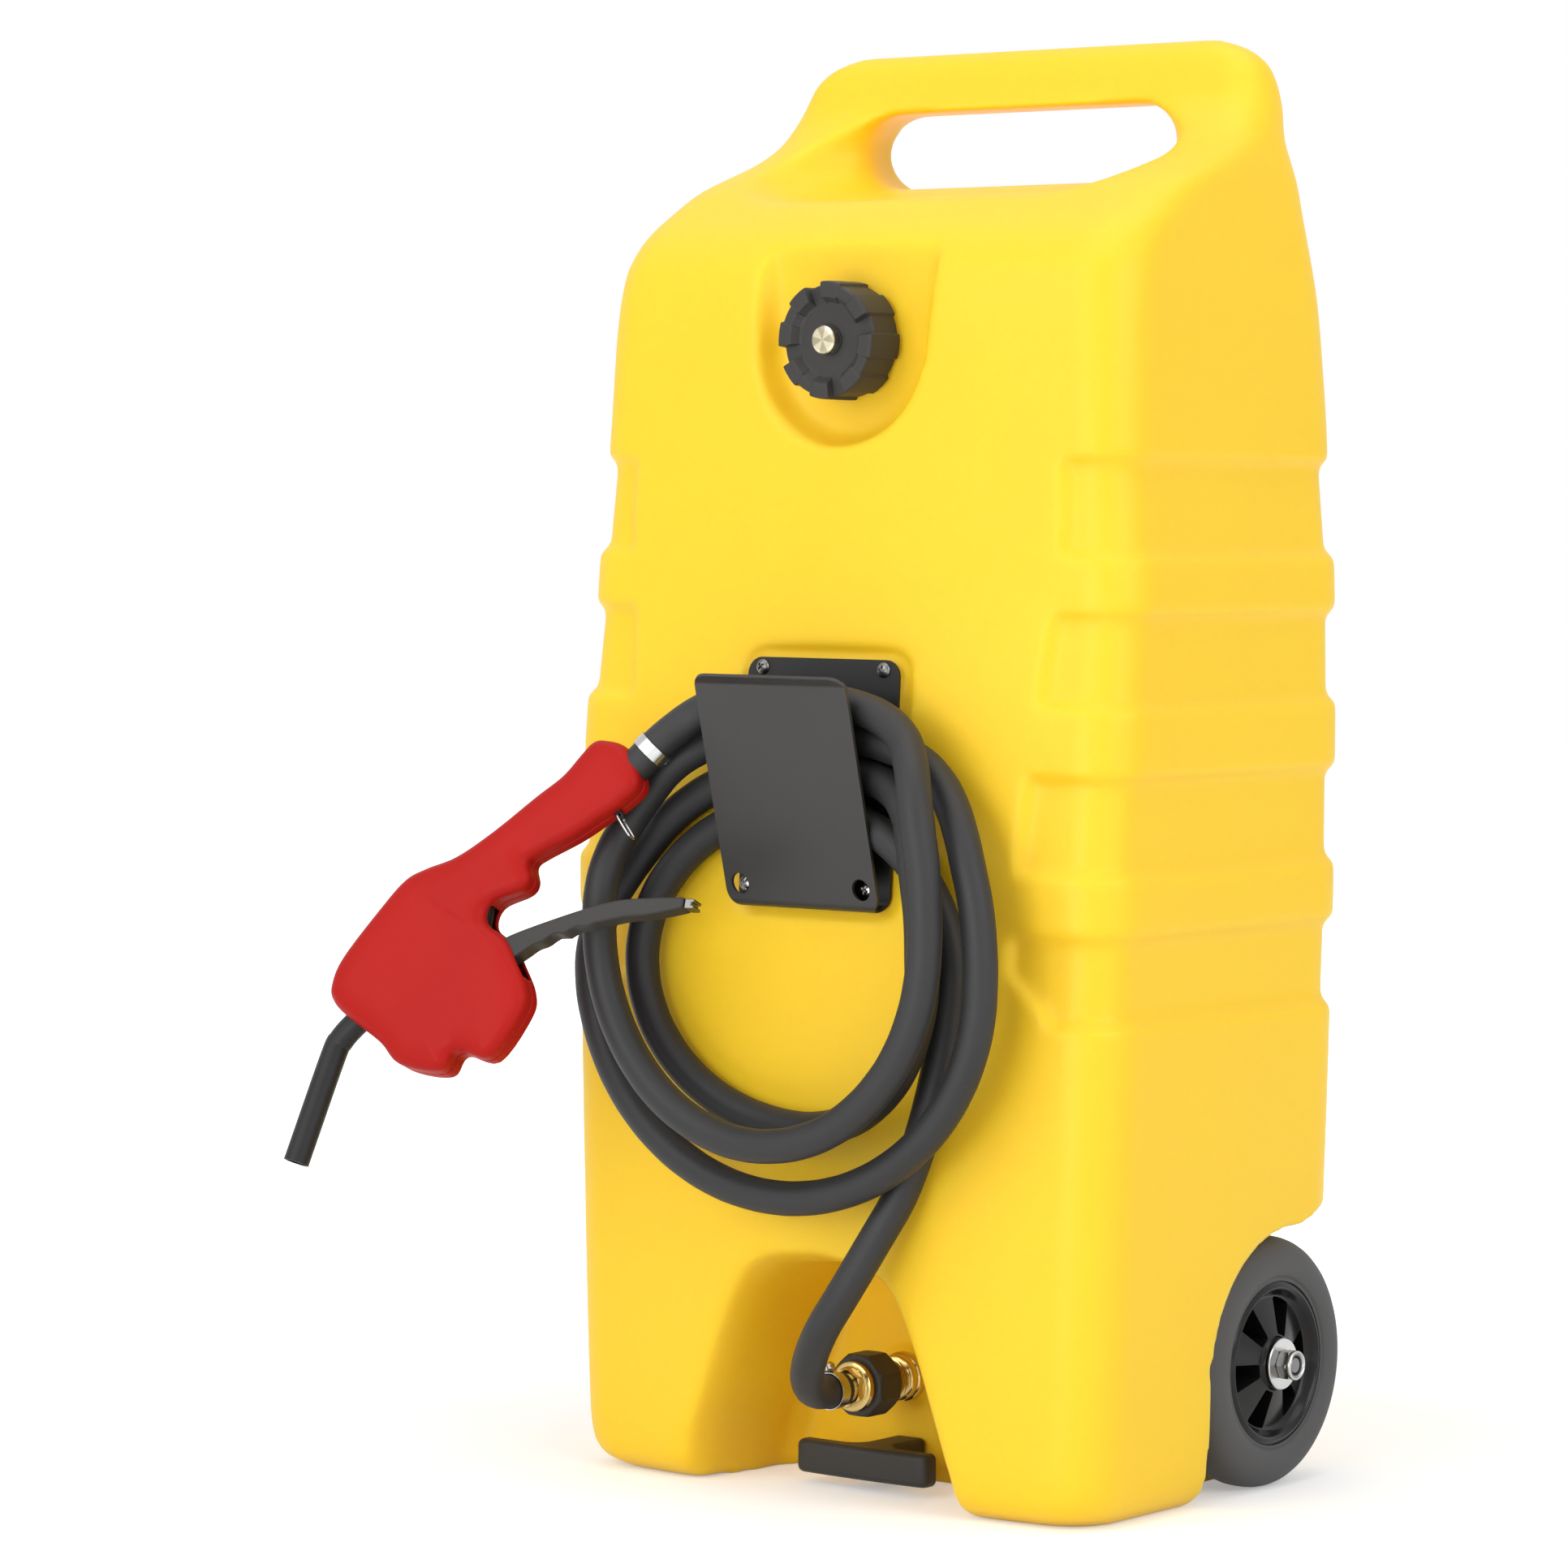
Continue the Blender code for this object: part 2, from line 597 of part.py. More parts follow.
def tank_levels():
    """(height, recess) of every ring: the stations, and four rings for each band."""
    bands = [(low * TANK_HEIGHT, high * TANK_HEIGHT) for low, high in BAND_SHARES]
    levels = {}
    for low, high in bands:
        for height, recess in ((low, 0), (low + BAND_SLOPE, 1), (high - BAND_SLOPE, 1), (high, 0)):
            levels[height] = recess
    levels[BAND_END_SHARES[1][0] * TANK_HEIGHT] = 1
    for share in [station[0] for station in STATION_SHARES] + list(RING_SHARES):
        height = share * TANK_HEIGHT
        if all(abs(height - taken) > BAND_SLOPE for taken in levels) or height < BAND_SLOPE:
            levels[height] = float(any(low < height < high for low, high in bands))
        elif not any(low - BAND_SLOPE < height < high + BAND_SLOPE for low, high in bands):
            levels[height] = 0
    return sorted(levels.items())


def stretched(outline, centre, grow):
    """Points moved away from a centre by a distance, along the way they lie."""
    moved = []
    for x, z in outline:
        dx, dz = x - centre[0], z - centre[1]
        length = math.hypot(dx, dz)
        moved.append((x + dx / length * grow, z + dz / length * grow))
    return moved


def rounded_box(half, low, high, radius, steps=6):
    """The outline of a box in XZ with round corners."""
    outline = []
    side, upper, lower = half - radius, high - radius, low + radius
    corners = ((side, upper, 0), (-side, upper, 90), (-side, lower, 180), (side, lower, 270))
    for centre_x, centre_z, start in corners:
        for step in range(steps + 1):
            angle = math.radians(start + 90 * step / steps)
            outline.append((centre_x + radius * math.cos(angle), centre_z + radius * math.sin(angle)))
    return outline


def handle_hole():
    rings = []
    for y, grow in HANDLE_HOLE_FLARES:
        low, high = HANDLE_HOLE_LOW - grow, HANDLE_HOLE_HIGH + grow
        outline = rounded_box(HANDLE_HOLE_HALF + grow, low, high, (high - low) * 0.495, 5)
        rings.append([(x, y, z) for x, z in outline])
    return loft("handle_hole", rings)


def alcove(grow):
    """The arch between the front legs, drawn in towards its back wall."""
    right = [(half, z) for z, half in ALCOVE_HALF_WIDTHS]
    outline = right + [(0, ALCOVE_HEIGHT)] + [(-x, z) for x, z in reversed(right)]
    middle = (0, ALCOVE_HEIGHT / 3)
    rings = []
    for y, flare in ALCOVE_FLARES:
        level = y if y < ALCOVE_BACK else y + grow
        rings.append([(x, level, z) for x, z in stretched(outline, middle, flare + grow)])
    return loft("alcove", rings)


def wheel_well(side, grow):
    """The arch round a wheel, open outwards, backwards and down."""
    reach = WHEEL_RADIUS + WELL_GAP + grow
    outline = [(WELL_FRONT - grow, -BELOW_GROUND), (WELL_FRONT - grow, WHEEL_RADIUS - WELL_GAP)]
    for step in range(0, 10):
        angle = math.radians(175 - 10 * step)
        outline.append((AXLE_Y + reach * math.cos(angle), WHEEL_RADIUS + reach * math.sin(angle)))
    outline += [(y, z + grow) for y, z in WELL_REAR] + [(WELL_REAR[-1][0], -BELOW_GROUND)]
    inner, outer = side * (WELL_INNER - grow), side * TANK_WIDTH
    return loft("wheel_well", [[(inner, y, z) for y, z in outline], [(outer, y, z) for y, z in outline]])


def heel(grow):
    """The slope under the tank's rear edge, which clears the ground when the caddy tips back."""
    (front, bottom), (rear, top) = HEEL_SLOPE
    front, past = front - grow, rear + BELOW_GROUND
    outline = [(front, bottom - grow), (front + BELOW_GROUND, -BELOW_GROUND), (past, -BELOW_GROUND),
               (past, top + grow), (rear, top + grow)]
    width = TANK_WIDTH
    return loft("heel", [[(-width, y, z) for y, z in outline], [(width, y, z) for y, z in outline]])


def filler_recess(grow):
    """A U-shaped recess that runs out into the sloping top."""
    rings = []
    for y, flare in RECESS_FLARES:
        radius = RECESS_RADIUS + flare + grow
        outline = [(radius * math.cos(math.radians(a)), FILLER_HEIGHT + radius * math.sin(math.radians(a)))
                   for a in range(180, 361, 15)]
        top = FILLER_HEIGHT + RECESS_TOP
        outline += [(radius + RECESS_SPREAD, top), (-radius - RECESS_SPREAD, top)]
        level = y + grow if y == RECESS_FLOOR else y
        rings.append([(x, level, z) for x, z in outline])
    return loft("recess", rings)


def along_x(radius, low, high, y, z, steps=20):
    mesh = disc(radius, low, high, steps)
    mesh.transform(Matrix.Translation((0, y, z)) @ FACING_RIGHT)
    return mesh


def along_y(radius, front, back, x, z, steps=24):
    mesh = disc(radius, -back, -front, steps)
    mesh.transform(Matrix.Translation((x, 0, z)) @ FACING_FRONT)
    return mesh


def make_tank():
    rings = [tank_ring(height, 0.0, recess) for height, recess in tank_levels()]
    tank = add_piece("tank", loft("tank", rings), "tank_plastic")
    neck_front = RECESS_FLOOR - NECK_LENGTH
    boss_front = ALCOVE_BACK - BOSS_LENGTH
    for name, mesh in (("cut_handle", handle_hole()), ("cut_recess", filler_recess(0)),
                       ("cut_alcove", alcove(0)), ("cut_well_right", wheel_well(1, 0)),
                       ("cut_well_left", wheel_well(-1, 0)), ("cut_heel", heel(0))):
        boolean(tank, add_cutter(name, mesh))
    pocket = block((BRACKET_WIDTH + 2 * POCKET_MARGIN, POCKET_BLOCK, BRACKET_HEIGHT + 2 * POCKET_MARGIN),
                   (0, GAP - POCKET_BLOCK / 2, BRACKET_HEIGHT / 2), POCKET_MARGIN * 0.8)
    boolean(tank, add_cutter("cut_pocket", pocket, BRACKET_FRAME))
    neck = along_y(NECK_RADIUS, neck_front, RECESS_FLOOR + WALL / 2, 0, FILLER_HEIGHT, 32)
    boss = along_y(BOSS_RADIUS, boss_front, ALCOVE_BACK + WALL / 2, 0, OUTLET_HEIGHT, 28)
    for name, mesh in (("join_neck", neck), ("join_boss", boss)):
        boolean(tank, add_cutter(name, mesh), "UNION")
    rings = [tank_ring(share * HANDLE_HOLE_LOW, WALL + BAND_DEPTH) for share in ROOM_SHARES]
    room = add_cutter("cut_room", loft("room", rings))
    sleeve = along_x(AXLE_RADIUS + AXLE_SLEEVE, -TANK_WIDTH, TANK_WIDTH, AXLE_Y, WHEEL_RADIUS)
    for name, mesh in (("keep_recess", filler_recess(WALL)), ("keep_alcove", alcove(WALL)),
                       ("keep_well_right", wheel_well(1, WALL)), ("keep_well_left", wheel_well(-1, WALL)),
                       ("keep_heel", heel(WALL)), ("keep_axle", sleeve)):
        boolean(room, add_cutter(name, mesh))
    boolean(tank, room)
    filler = along_y(NECK_BORE, CUT_FRONT, RECESS_FLOOR + WALL + CUT_REACH, 0, FILLER_HEIGHT, 28)
    outlet = along_y(OUTLET_BORE, CUT_FRONT, 0, 0, OUTLET_HEIGHT, 24)
    axle = along_x(AXLE_RADIUS + GAP, -TANK_WIDTH, TANK_WIDTH, AXLE_Y, WHEEL_RADIUS, 16)
    for name, mesh in (("cut_filler", filler), ("cut_outlet", outlet), ("cut_axle", axle)):
        boolean(tank, add_cutter(name, mesh))


# The filler cap
def make_cap():
    frame = add_frame("cap_frame", Matrix.Translation((0, CAP_FRONT, FILLER_HEIGHT)) @ FACING_FRONT)
    floor = -CAP_DISH_DEPTH
    seat = floor - CAP_WEB
    boss = floor + CAP_BOSS_HEIGHT
    hole = VENT_STEM_RADIUS + GAP
    profile = [(hole, boss), (CAP_BOSS_RADIUS, boss), (CAP_BOSS_RADIUS + CAP_SLOPE, floor),
               (CAP_DISH_RADIUS - CAP_SLOPE, floor), (CAP_DISH_RADIUS + CAP_SLOPE, 0),
               (CAP_RADIUS - CAP_EDGE, 0), (CAP_RADIUS, -CAP_EDGE), (CAP_RADIUS, CAP_EDGE - CAP_DEPTH),
               (CAP_RADIUS - CAP_EDGE, -CAP_DEPTH), (CAP_BORE, -CAP_DEPTH), (CAP_BORE, seat), (hole, seat)]
    cap = add_piece("fuel_cap", turned(profile, 32, closed=True), "black_plastic", frame)
    for number in range(CAP_NOTCHES):
        angle = 2 * math.pi * (number + 0.35) / CAP_NOTCHES
        size = (2 * CAP_NOTCH_DEPTH, CAP_NOTCH_WIDTH, 2 * CAP_DEPTH)
        cutter = block(size, (CAP_RADIUS + GAP, 0, 0), CAP_SLOPE)
        cutter.transform(Matrix.Rotation(angle, 4, "Z"))
        boolean(cap, add_cutter(f"cut_cap_{number}", cutter, frame))
    rim = -(RECESS_FLOOR - NECK_LENGTH - CAP_FRONT)
    gasket = ring(NECK_BORE + GASKET_MARGIN, CAP_BORE - GASKET_MARGIN, rim + GAP, seat - GAP, 24)
    add_piece("cap_gasket", gasket, "rubber", frame)
    low = boss + GAP
    seal = ring(hole, VENT_SEAL_RADIUS, low, low + VENT_SEAL_THICKNESS, 14)
    add_piece("vent_seal", seal, "rubber", frame)
    low += VENT_SEAL_THICKNESS + GAP
    high = low + VENT_KNOB_LENGTH
    tail = seat - VENT_STEM_PAST
    knob = [(0, high - VENT_DIMPLE_DEPTH), (VENT_DIMPLE_RADIUS, high),
            (VENT_KNOB_RADIUS - VENT_KNOB_EDGE, high), (VENT_KNOB_RADIUS, high - VENT_KNOB_EDGE),
            (VENT_KNOB_RADIUS, low), (VENT_STEM_RADIUS, low), (VENT_STEM_RADIUS, tail), (0, tail)]
    add_piece("vent_screw", turned(knob, 20), "brass", frame)


# The hose bracket
def bracket_strip():
    """Middle line of the folded sheet in the bracket's YZ plane, from the top of its back plate."""
    bend = CHANNEL / 2 + SHEET / 2
    levels = (BRACKET_HEIGHT, BRACKET_HEIGHT - BRACKET_CORNER * 0.3, BRACKET_HEIGHT - BRACKET_CORNER,
              BRACKET_HEIGHT / 2, bend)
    line = [(-SHEET / 2, level) for level in levels]
    for step in range(1, 7):
        angle = math.radians(180 * step / 6) - FLAP_LEAN * step / 6
        line.append((-SHEET / 2 - bend * (1 - math.cos(angle)), bend - bend * math.sin(angle)))
    y, z = line[-1]
    for length in (FLAP_HEIGHT - BRACKET_CORNER, FLAP_HEIGHT):
        line.append((y - length * math.sin(FLAP_LEAN), z + length * math.cos(FLAP_LEAN)))
    y, z = line[-1]
    for share in (0.4, 1.0):
        length = LIP_LENGTH * share
        line.append((y - length * math.sin(LIP_LEAN), z + length * math.cos(LIP_LEAN)))
    return line


def make_bracket():
    line = np.array(bracket_strip())
    steps = np.linalg.norm(np.diff(line, axis=0), axis=1)
    travel = np.concatenate([[0], np.cumsum(steps)])
    rows = []
    for index, (y, z) in enumerate(line):
        from_end = min(travel[index], travel[-1] - travel[index])
        missing = max(BRACKET_CORNER - from_end, 0)
        half = BRACKET_WIDTH / 2 - BRACKET_CORNER + math.sqrt(BRACKET_CORNER ** 2 - missing ** 2)
        before = line[index] - line[max(index - 1, 0)]
        after = line[min(index + 1, len(line) - 1)] - line[index]
        along = before / (np.linalg.norm(before) or 1) + after / (np.linalg.norm(after) or 1)
        along = along / np.linalg.norm(along)
        across = np.array((-along[1], along[0])) * SHEET / 2
        near, far = (y + across[0], z + across[1]), (y - across[0], z - across[1])
        rows.append([(-half, *near), (half, *near), (half, *far), (-half, *far)])
    bracket = add_piece("hose_bracket", loft("bracket", rows), "black_steel", BRACKET_FRAME)
    for number, (x, z) in enumerate(bracket_screws(), 1):
        hole = disc(SCREW_RADIUS + GAP, -CUT_REACH, SHEET + CHANNEL / 2, 12)
        hole.transform(Matrix.Translation((x, 0, z)) @ FACING_FRONT)
        boolean(bracket, add_cutter(f"cut_screw_{number}", hole, BRACKET_FRAME))
        if z < BRACKET_HEIGHT / 2:
            start = SHEET + CHANNEL / 2
            access = disc(ACCESS_HOLE_RADIUS, start, start + ACCESS_HOLE_DEPTH, 20)
            access.transform(Matrix.Translation((x, 0, z)) @ FACING_FRONT)
            boolean(bracket, add_cutter(f"cut_access_{number}", access, BRACKET_FRAME))
        head = SHEET + GAP
        profile = [(SCREW_HEAD_RADIUS * share, head + height) for share, height in SCREW_HEAD]
        profile += [(SCREW_RADIUS, head), (SCREW_RADIUS, -SCREW_DEPTH), (0, -SCREW_DEPTH)]
        screw = turned(profile, 12)
        screw.transform(Matrix.Translation((x, 0, z)) @ FACING_FRONT)
        add_piece(f"bracket_screw_{number}", screw, "zinc", BRACKET_FRAME)
        seat = disc(SCREW_RADIUS + GAP, -SCREW_DEPTH - GAP, CUT_REACH, 12)
        seat.transform(Matrix.Translation((x, 0, z)) @ FACING_FRONT)
        boolean(bpy.data.objects["tank"], add_cutter(f"cut_seat_{number}", seat, BRACKET_FRAME))


def bracket_screws():
    high = SCREW_LOW + SCREW_SPAN_Z
    return [(x, z) for z in (high, SCREW_LOW) for x in (-SCREW_SPAN_X / 2, SCREW_SPAN_X / 2)]


# The outlet fittings, along local +Z from the alcove's back wall
def polygon(radius, sides, turn=0.0):
    return [(radius * math.cos(2 * math.pi * (number + turn) / sides),
             radius * math.sin(2 * math.pi * (number + turn) / sides)) for number in range(sides)]


def make_outlet():
    frame = add_frame("outlet_frame", Matrix.Translation((0, ALCOVE_BACK, OUTLET_HEIGHT)) @ FACING_FRONT)
    shank = OUTLET_BORE - GAP
    low = BOSS_LENGTH + GAP
    seal = ring(OUTLET_BORE, BOSS_RADIUS - OUTLET_SEAL_MARGIN, low, low + OUTLET_SEAL_THICKNESS, 16)
    add_piece("outlet_seal", seal, "rubber", frame)
    low += OUTLET_SEAL_THICKNESS + GAP
    inner_nut = -WALL - LOCKNUT_GAP
    foot = inner_nut - LOCKNUT_LENGTH
    high = low + FITTING_LENGTH
    flange = BOSS_RADIUS - FITTING_FLANGE_MARGIN
    step = low + FITTING_FLANGE
    profile = [(FLOW_BORE, high), (FITTING_RADIUS - FITTING_TAPER, high),
               (FITTING_RADIUS, high - FITTING_TAPER_LENGTH), (FITTING_RADIUS, step + FITTING_FLANGE_MARGIN),
               (flange, step), (flange, low), (shank, low), (shank, foot - SHANK_PAST),
               (FLOW_BORE, foot - SHANK_PAST)]
    add_piece("outlet_fitting", turned(profile, 20, closed=True), "brass", frame)
    add_piece("outlet_locknut", ring_prism(shank + GAP, LOCKNUT_RADIUS, 6, foot, inner_nut), "brass", frame)
    low = high + GAP
    high = low + NUT_LENGTH
    nut = ring_prism(NUT_HOLE, NUT_RADIUS, 8, low, high, NUT_RIM)
    add_piece("coupling_nut", nut, "black_plastic", frame)
    low = high + GAP
    profile = [(radius, low + height) for radius, height in ADAPTER_OUTLINE]
    profile = [(FLOW_BORE, profile[0][1])] + profile + [(FLOW_BORE, low)]
    add_piece("barb_adapter", turned(profile, 20, closed=True), "brass", frame)
    return -ALCOVE_BACK + profile[0][1] + GAP


def ring_prism(bore, radius, sides, low, high, bevel=NUT_EDGE):
    """A nut: a polygon with chamfered rims and a round bore."""
    piece = bpy.data.objects.new("nut", prism(polygon(radius, sides, 0.5), low, high, bevel))
    PARTS.objects.link(piece)
    cutter = bpy.data.objects.new("nut_bore", disc(bore, low - CUT_REACH, high + CUT_REACH, 20))
    CUTTERS.objects.link(cutter)
    boolean(piece, cutter)
    mesh = baked(piece)
    bpy.data.objects.remove(cutter)
    return mesh


def make_guard():
    half, arm = GUARD_LENGTH / 2, GUARD_ARM / 2
    back = GUARD_FRONT + GUARD_THICKNESS
    wall = ALCOVE_BACK - GAP
    outline = [(-half, GUARD_FRONT), (half, GUARD_FRONT), (half, back), (arm, back), (arm, wall),
               (-arm, wall), (-arm, back), (-half, back)]
    add_piece("front_guard", prism(outline, GUARD_LOW, GUARD_HIGH, GUARD_EDGE, 1), "black_plastic")


# Wheels, axle and its fastenings, mirrored left and right
def tyre_profile():
    half = TYRE_WIDTH / 2
    side = [(RIM_RADIUS + GAP + out, half - sunk) for out, sunk in TYRE_BEAD]
    side += [(WHEEL_RADIUS - sunk, half - across) for sunk, across in TYRE_SHOULDER]
    return side + [(radius, -height) for radius, height in reversed(side)]


def rim_profile():
    half = TYRE_WIDTH / 2
    hub = [(AXLE_RADIUS + GAP, half), (HUB_RADIUS - HUB_EDGE, half), (HUB_RADIUS, half - HUB_EDGE_DEPTH)]
    lip = [(RIM_RADIUS - sunk, half - across) for sunk, across in RIM_LIP]
    web = RIM_RADIUS - WEB_EDGE
    front = hub + [(web, half - WEB_FRONT)] + lip
    back = [(radius, -height) for radius, height in reversed(lip)]
    back += [(web, half - WEB_BACK), (HUB_RADIUS + HUB_EDGE, half - WEB_BACK)]
    return front + back + [(radius, -height) for radius, height in reversed(hub)]


def window_outline():
    """One hollow between two spokes, wide at the rim."""
    inner, outer = HUB_RADIUS + WINDOW_INNER, RIM_RADIUS - WINDOW_OUTER
    spread = math.radians(360 / SPOKES * WINDOW_SHARE)
    outline = [(inner * math.cos(a), inner * math.sin(a)) for a in (-spread, spread)]
    outline += [(outer * math.cos(a), outer * math.sin(a)) for a in (spread, 0, -spread)]
    return outline


def make_wheel(word, side):
    facing = FACING_RIGHT if side > 0 else FACING_LEFT
    centre = WHEEL_FACE - TYRE_WIDTH / 2
    place = Matrix.Translation((side * centre, AXLE_Y, WHEEL_RADIUS)) @ facing
    frame = add_frame(f"wheel_{word}_axis", place)
    add_piece(f"tyre_{word}", turned(tyre_profile(), 32, closed=True), "tyre", frame)
    rim = add_piece(f"rim_{word}", turned(rim_profile(), 24, closed=True), "rim_plastic", frame)
    half = TYRE_WIDTH / 2
    for number in range(SPOKES):
        window = prism(window_outline(), half - WINDOW_DEPTH, half)
        window.transform(Matrix.Rotation(2 * math.pi * number / SPOKES, 4, "Z"))
        boolean(rim, add_cutter(f"cut_window_{word}_{number}", window, frame))
    bore = AXLE_RADIUS + GAP
    low = -half - WASHER_GAP - GAP
    inner_washer = ring(bore, WASHER_RADIUS, low - WASHER_THICKNESS, low, 16)
    add_piece(f"inner_washer_{word}", inner_washer, "zinc", frame)
    low = half + WASHER_GAP
    outer_washer = ring(bore, WASHER_RADIUS, low, low + WASHER_THICKNESS, 18)
    add_piece(f"outer_washer_{word}", outer_washer, "zinc", frame)
    low += WASHER_THICKNESS + GAP
    nut = ring_prism(bore, NUT_FLATS / math.sqrt(3), 6, low, low + NUT_DEPTH * 0.72)
    add_piece(f"axle_nut_{word}", nut, "zinc", frame)
    low += NUT_DEPTH * 0.72 + GAP
    collar = ring(bore, NUT_FLATS / 2 - COLLAR_STEP, low, low + NUT_DEPTH * 0.3, 16)
    add_piece(f"nut_collar_{word}", collar, "zinc", frame)
    return centre + low + NUT_DEPTH * 0.3


def make_axle(half):
    add_piece("axle", along_x(AXLE_RADIUS, -half, half, AXLE_Y, WHEEL_RADIUS, 20), "zinc")


# The hose
def power_arc(value, power):
    """One coordinate of a superellipse from a cosine or sine of its angle."""
    return math.copysign(abs(value) ** (2 / power), value)


def loop_point(turn):
    """The hose's middle after this many turns, starting in the bracket and leaving to the left."""
    number = min(int(turn), len(LOOP_SIZES) - 1)
    left, right, middle, bottom = LOOP_SIZES[number]
    angle = 2 * math.pi * (turn - number)
    half = int(turn - number > 0.5)
    reach = (left, right)[half]
    power = LOOP_POWERS[number][half] if math.cos(angle) > 0 else 2
    extreme = PASS_HEIGHTS[number + half] if math.cos(angle) > 0 else bottom
    height = middle + abs(extreme - middle) * power_arc(math.cos(angle), power)
    return (-reach * power_arc(math.sin(angle), power), layer(turn), height)


def layer(turn):
    turns, depths = np.array(LOOP_LAYERS).T
    place = min(int(np.searchsorted(turns, turn, side="right")), len(turns) - 1)
    share = (turn - turns[place - 1]) / (turns[place] - turns[place - 1])
    share = min(max(share, 0), 1)
    share = share * share * (3 - 2 * share)
    return float(depths[place - 1] + (depths[place] - depths[place - 1]) * share)


def even_points(points, spacing):
    """The points of a line taken again at an even spacing."""
    line = np.array(points)
    travel = np.concatenate([[0], np.cumsum(np.linalg.norm(np.diff(line, axis=0), axis=1))])
    count = max(int(round(travel[-1] / spacing)), 2)
    marks = np.linspace(0, travel[-1], count + 1)
    return [tuple(float(np.interp(mark, travel, line[:, axis])) for axis in range(3)) for mark in marks]


def straight_ends(points, leaving, arriving, starting=HOSE_RADIUS, ending=HOSE_RADIUS):
    """The line with its ends drawn straight for these lengths, so that its faces meet squarely."""
    line = [Vector(point) for point in points]
    first, last = line[0], line[-1]
    inner = [point for point in line
             if (point - first).length > starting * 1.6 and (point - last).length > ending * 1.6]
    before = [first, first + Vector(leaving) * starting]
    after = [last - Vector(arriving) * ending, last]
    return [tuple(point) for point in before + inner + after]


def loop_points():
    turns = np.linspace(0, len(LOOP_SIZES), len(LOOP_SIZES) * 80 + 1)
    fine = [loop_point(float(turn)) for turn in turns]
    length = sum(np.linalg.norm(np.diff(np.array(fine), axis=0), axis=1))
    return straight_ends(even_points(fine, length / (len(LOOP_SIZES) * LOOP_STEPS)), (-1, 0, 0), (-1, 0, 0))


def tail_points(end):
    """From the outlet up the right side and over into the bracket."""
    arc = []
    middle, top = TAIL_ROUTE[0][2], PASS_HEIGHTS[0]
    for step in range(0, 9):
        angle = math.pi / 2 * step / 8
        height = middle + (top - middle) * math.cos(angle)
        arc.append((GAP + TAIL_REACH * math.sin(angle), LOOP_LAYERS[0][1], height))
    route = arc[:-1] + list(TAIL_ROUTE) + [(0, -end, OUTLET_HEIGHT)]
    line = even_points(smooth_open(list(reversed(route)), 6), HOSE_RADIUS * 2)
    return straight_ends(line, (0, -1, 0), (-1, 0, 0), starting=CLAMPED_LENGTH)


def lead_points(end):
    start = loop_point(len(LOOP_SIZES))
    route = [(start[0] - GAP, start[1], start[2])] + list(LEAD_ROUTE) + end
    arriving = (Vector(end[-1]) - Vector(end[-2])).normalized()
    line = even_points(smooth_open(route, 6), HOSE_RADIUS * 1.5)
    return straight_ends(line, (-1, 0, 0), arriving, ending=CLAMPED_LENGTH)


def least_gap(points):
    """Least free distance between parts of the tube that aren't neighbours along it."""
    line = np.array(even_points(points, HOSE_RADIUS / 2))
    skip = int(round(math.pi * HOSE_RADIUS / (HOSE_RADIUS / 2))) + 2
    best = 1.0
    for index in range(len(line) - skip):
        best = min(best, float(np.linalg.norm(line[index + skip:] - line[index], axis=1).min()))
    return best - 2 * HOSE_RADIUS


def make_hose(outlet_end):
    tail, loops, lead = tail_points(outlet_end), loop_points(), lead_points(nozzle_entry())
    add_piece("hose_tail", tube(tail, HOSE_RADIUS, 2), "rubber")
    add_piece("hose_loops", tube(loops, HOSE_RADIUS, 1), "rubber")
    add_piece("hose_lead", tube(lead, HOSE_RADIUS, 2), "rubber")
    for word, line in (("tail", tail), ("loops", loops), ("lead", lead)):
        length = np.linalg.norm(np.diff(np.array(line), axis=0), axis=1).sum()
        print("hose %s length (m): %.3f" % (word, length))
    print("loops' least gap to themselves (mm): %.2f" % (1000 * least_gap(loops)))
    make_clamp("outlet_clamp", tail[0], tail[1])
    make_clamp("nozzle_clamp", lead[-1], lead[-2])


def make_clamp(name, end, inside):
    """A worm-drive band round the hose, with its screw housing on top."""
    start, along = Vector(end), (Vector(inside) - Vector(end)).normalized()
    turn = along.to_track_quat("Z", "X").to_matrix().to_4x4()
    frame = add_frame(f"{name}_frame", Matrix.Translation(start + along * CLAMP_OFFSET) @ turn)
    inner = HOSE_RADIUS + GAP
    outer = inner + CLAMP_THICKNESS
    band = add_piece(name, ring(inner, outer, 0, CLAMP_WIDTH, 20), "zinc", frame)
    housing = block(CLAMP_HOUSING, (outer + CLAMP_HOUSING[0] / 2 - GAP, 0, CLAMP_WIDTH / 2), CLAMP_EDGE)
    boolean(band, add_cutter(f"join_{name}", housing, frame), "UNION")


# The nozzle
def entry_point(distance):
    """A point on the hose's line, this far behind the face where it meets the nozzle."""
    across, up = distance * math.cos(ENTRY_ANGLE), distance * math.sin(ENTRY_ANGLE)
    return (HOSE_ENTRY[0] + across, 0, HOSE_ENTRY[1] + up)


def nozzle_entry():
    """The lead's last points, straight into the rear of the nozzle."""
    frame = NOZZLE_FRAME.matrix_local
    return [tuple(frame @ Vector(entry_point(distance))) for distance in (CLAMPED_LENGTH, 0)]


def cover_half(u):
    """Half thickness of the cover, thinner along the grip."""
    share = min(max((-u - GRIP_END) / GRIP_EASE, 0), 1)
    return GRIP_HALF + (COVER_HALF - GRIP_HALF) * share


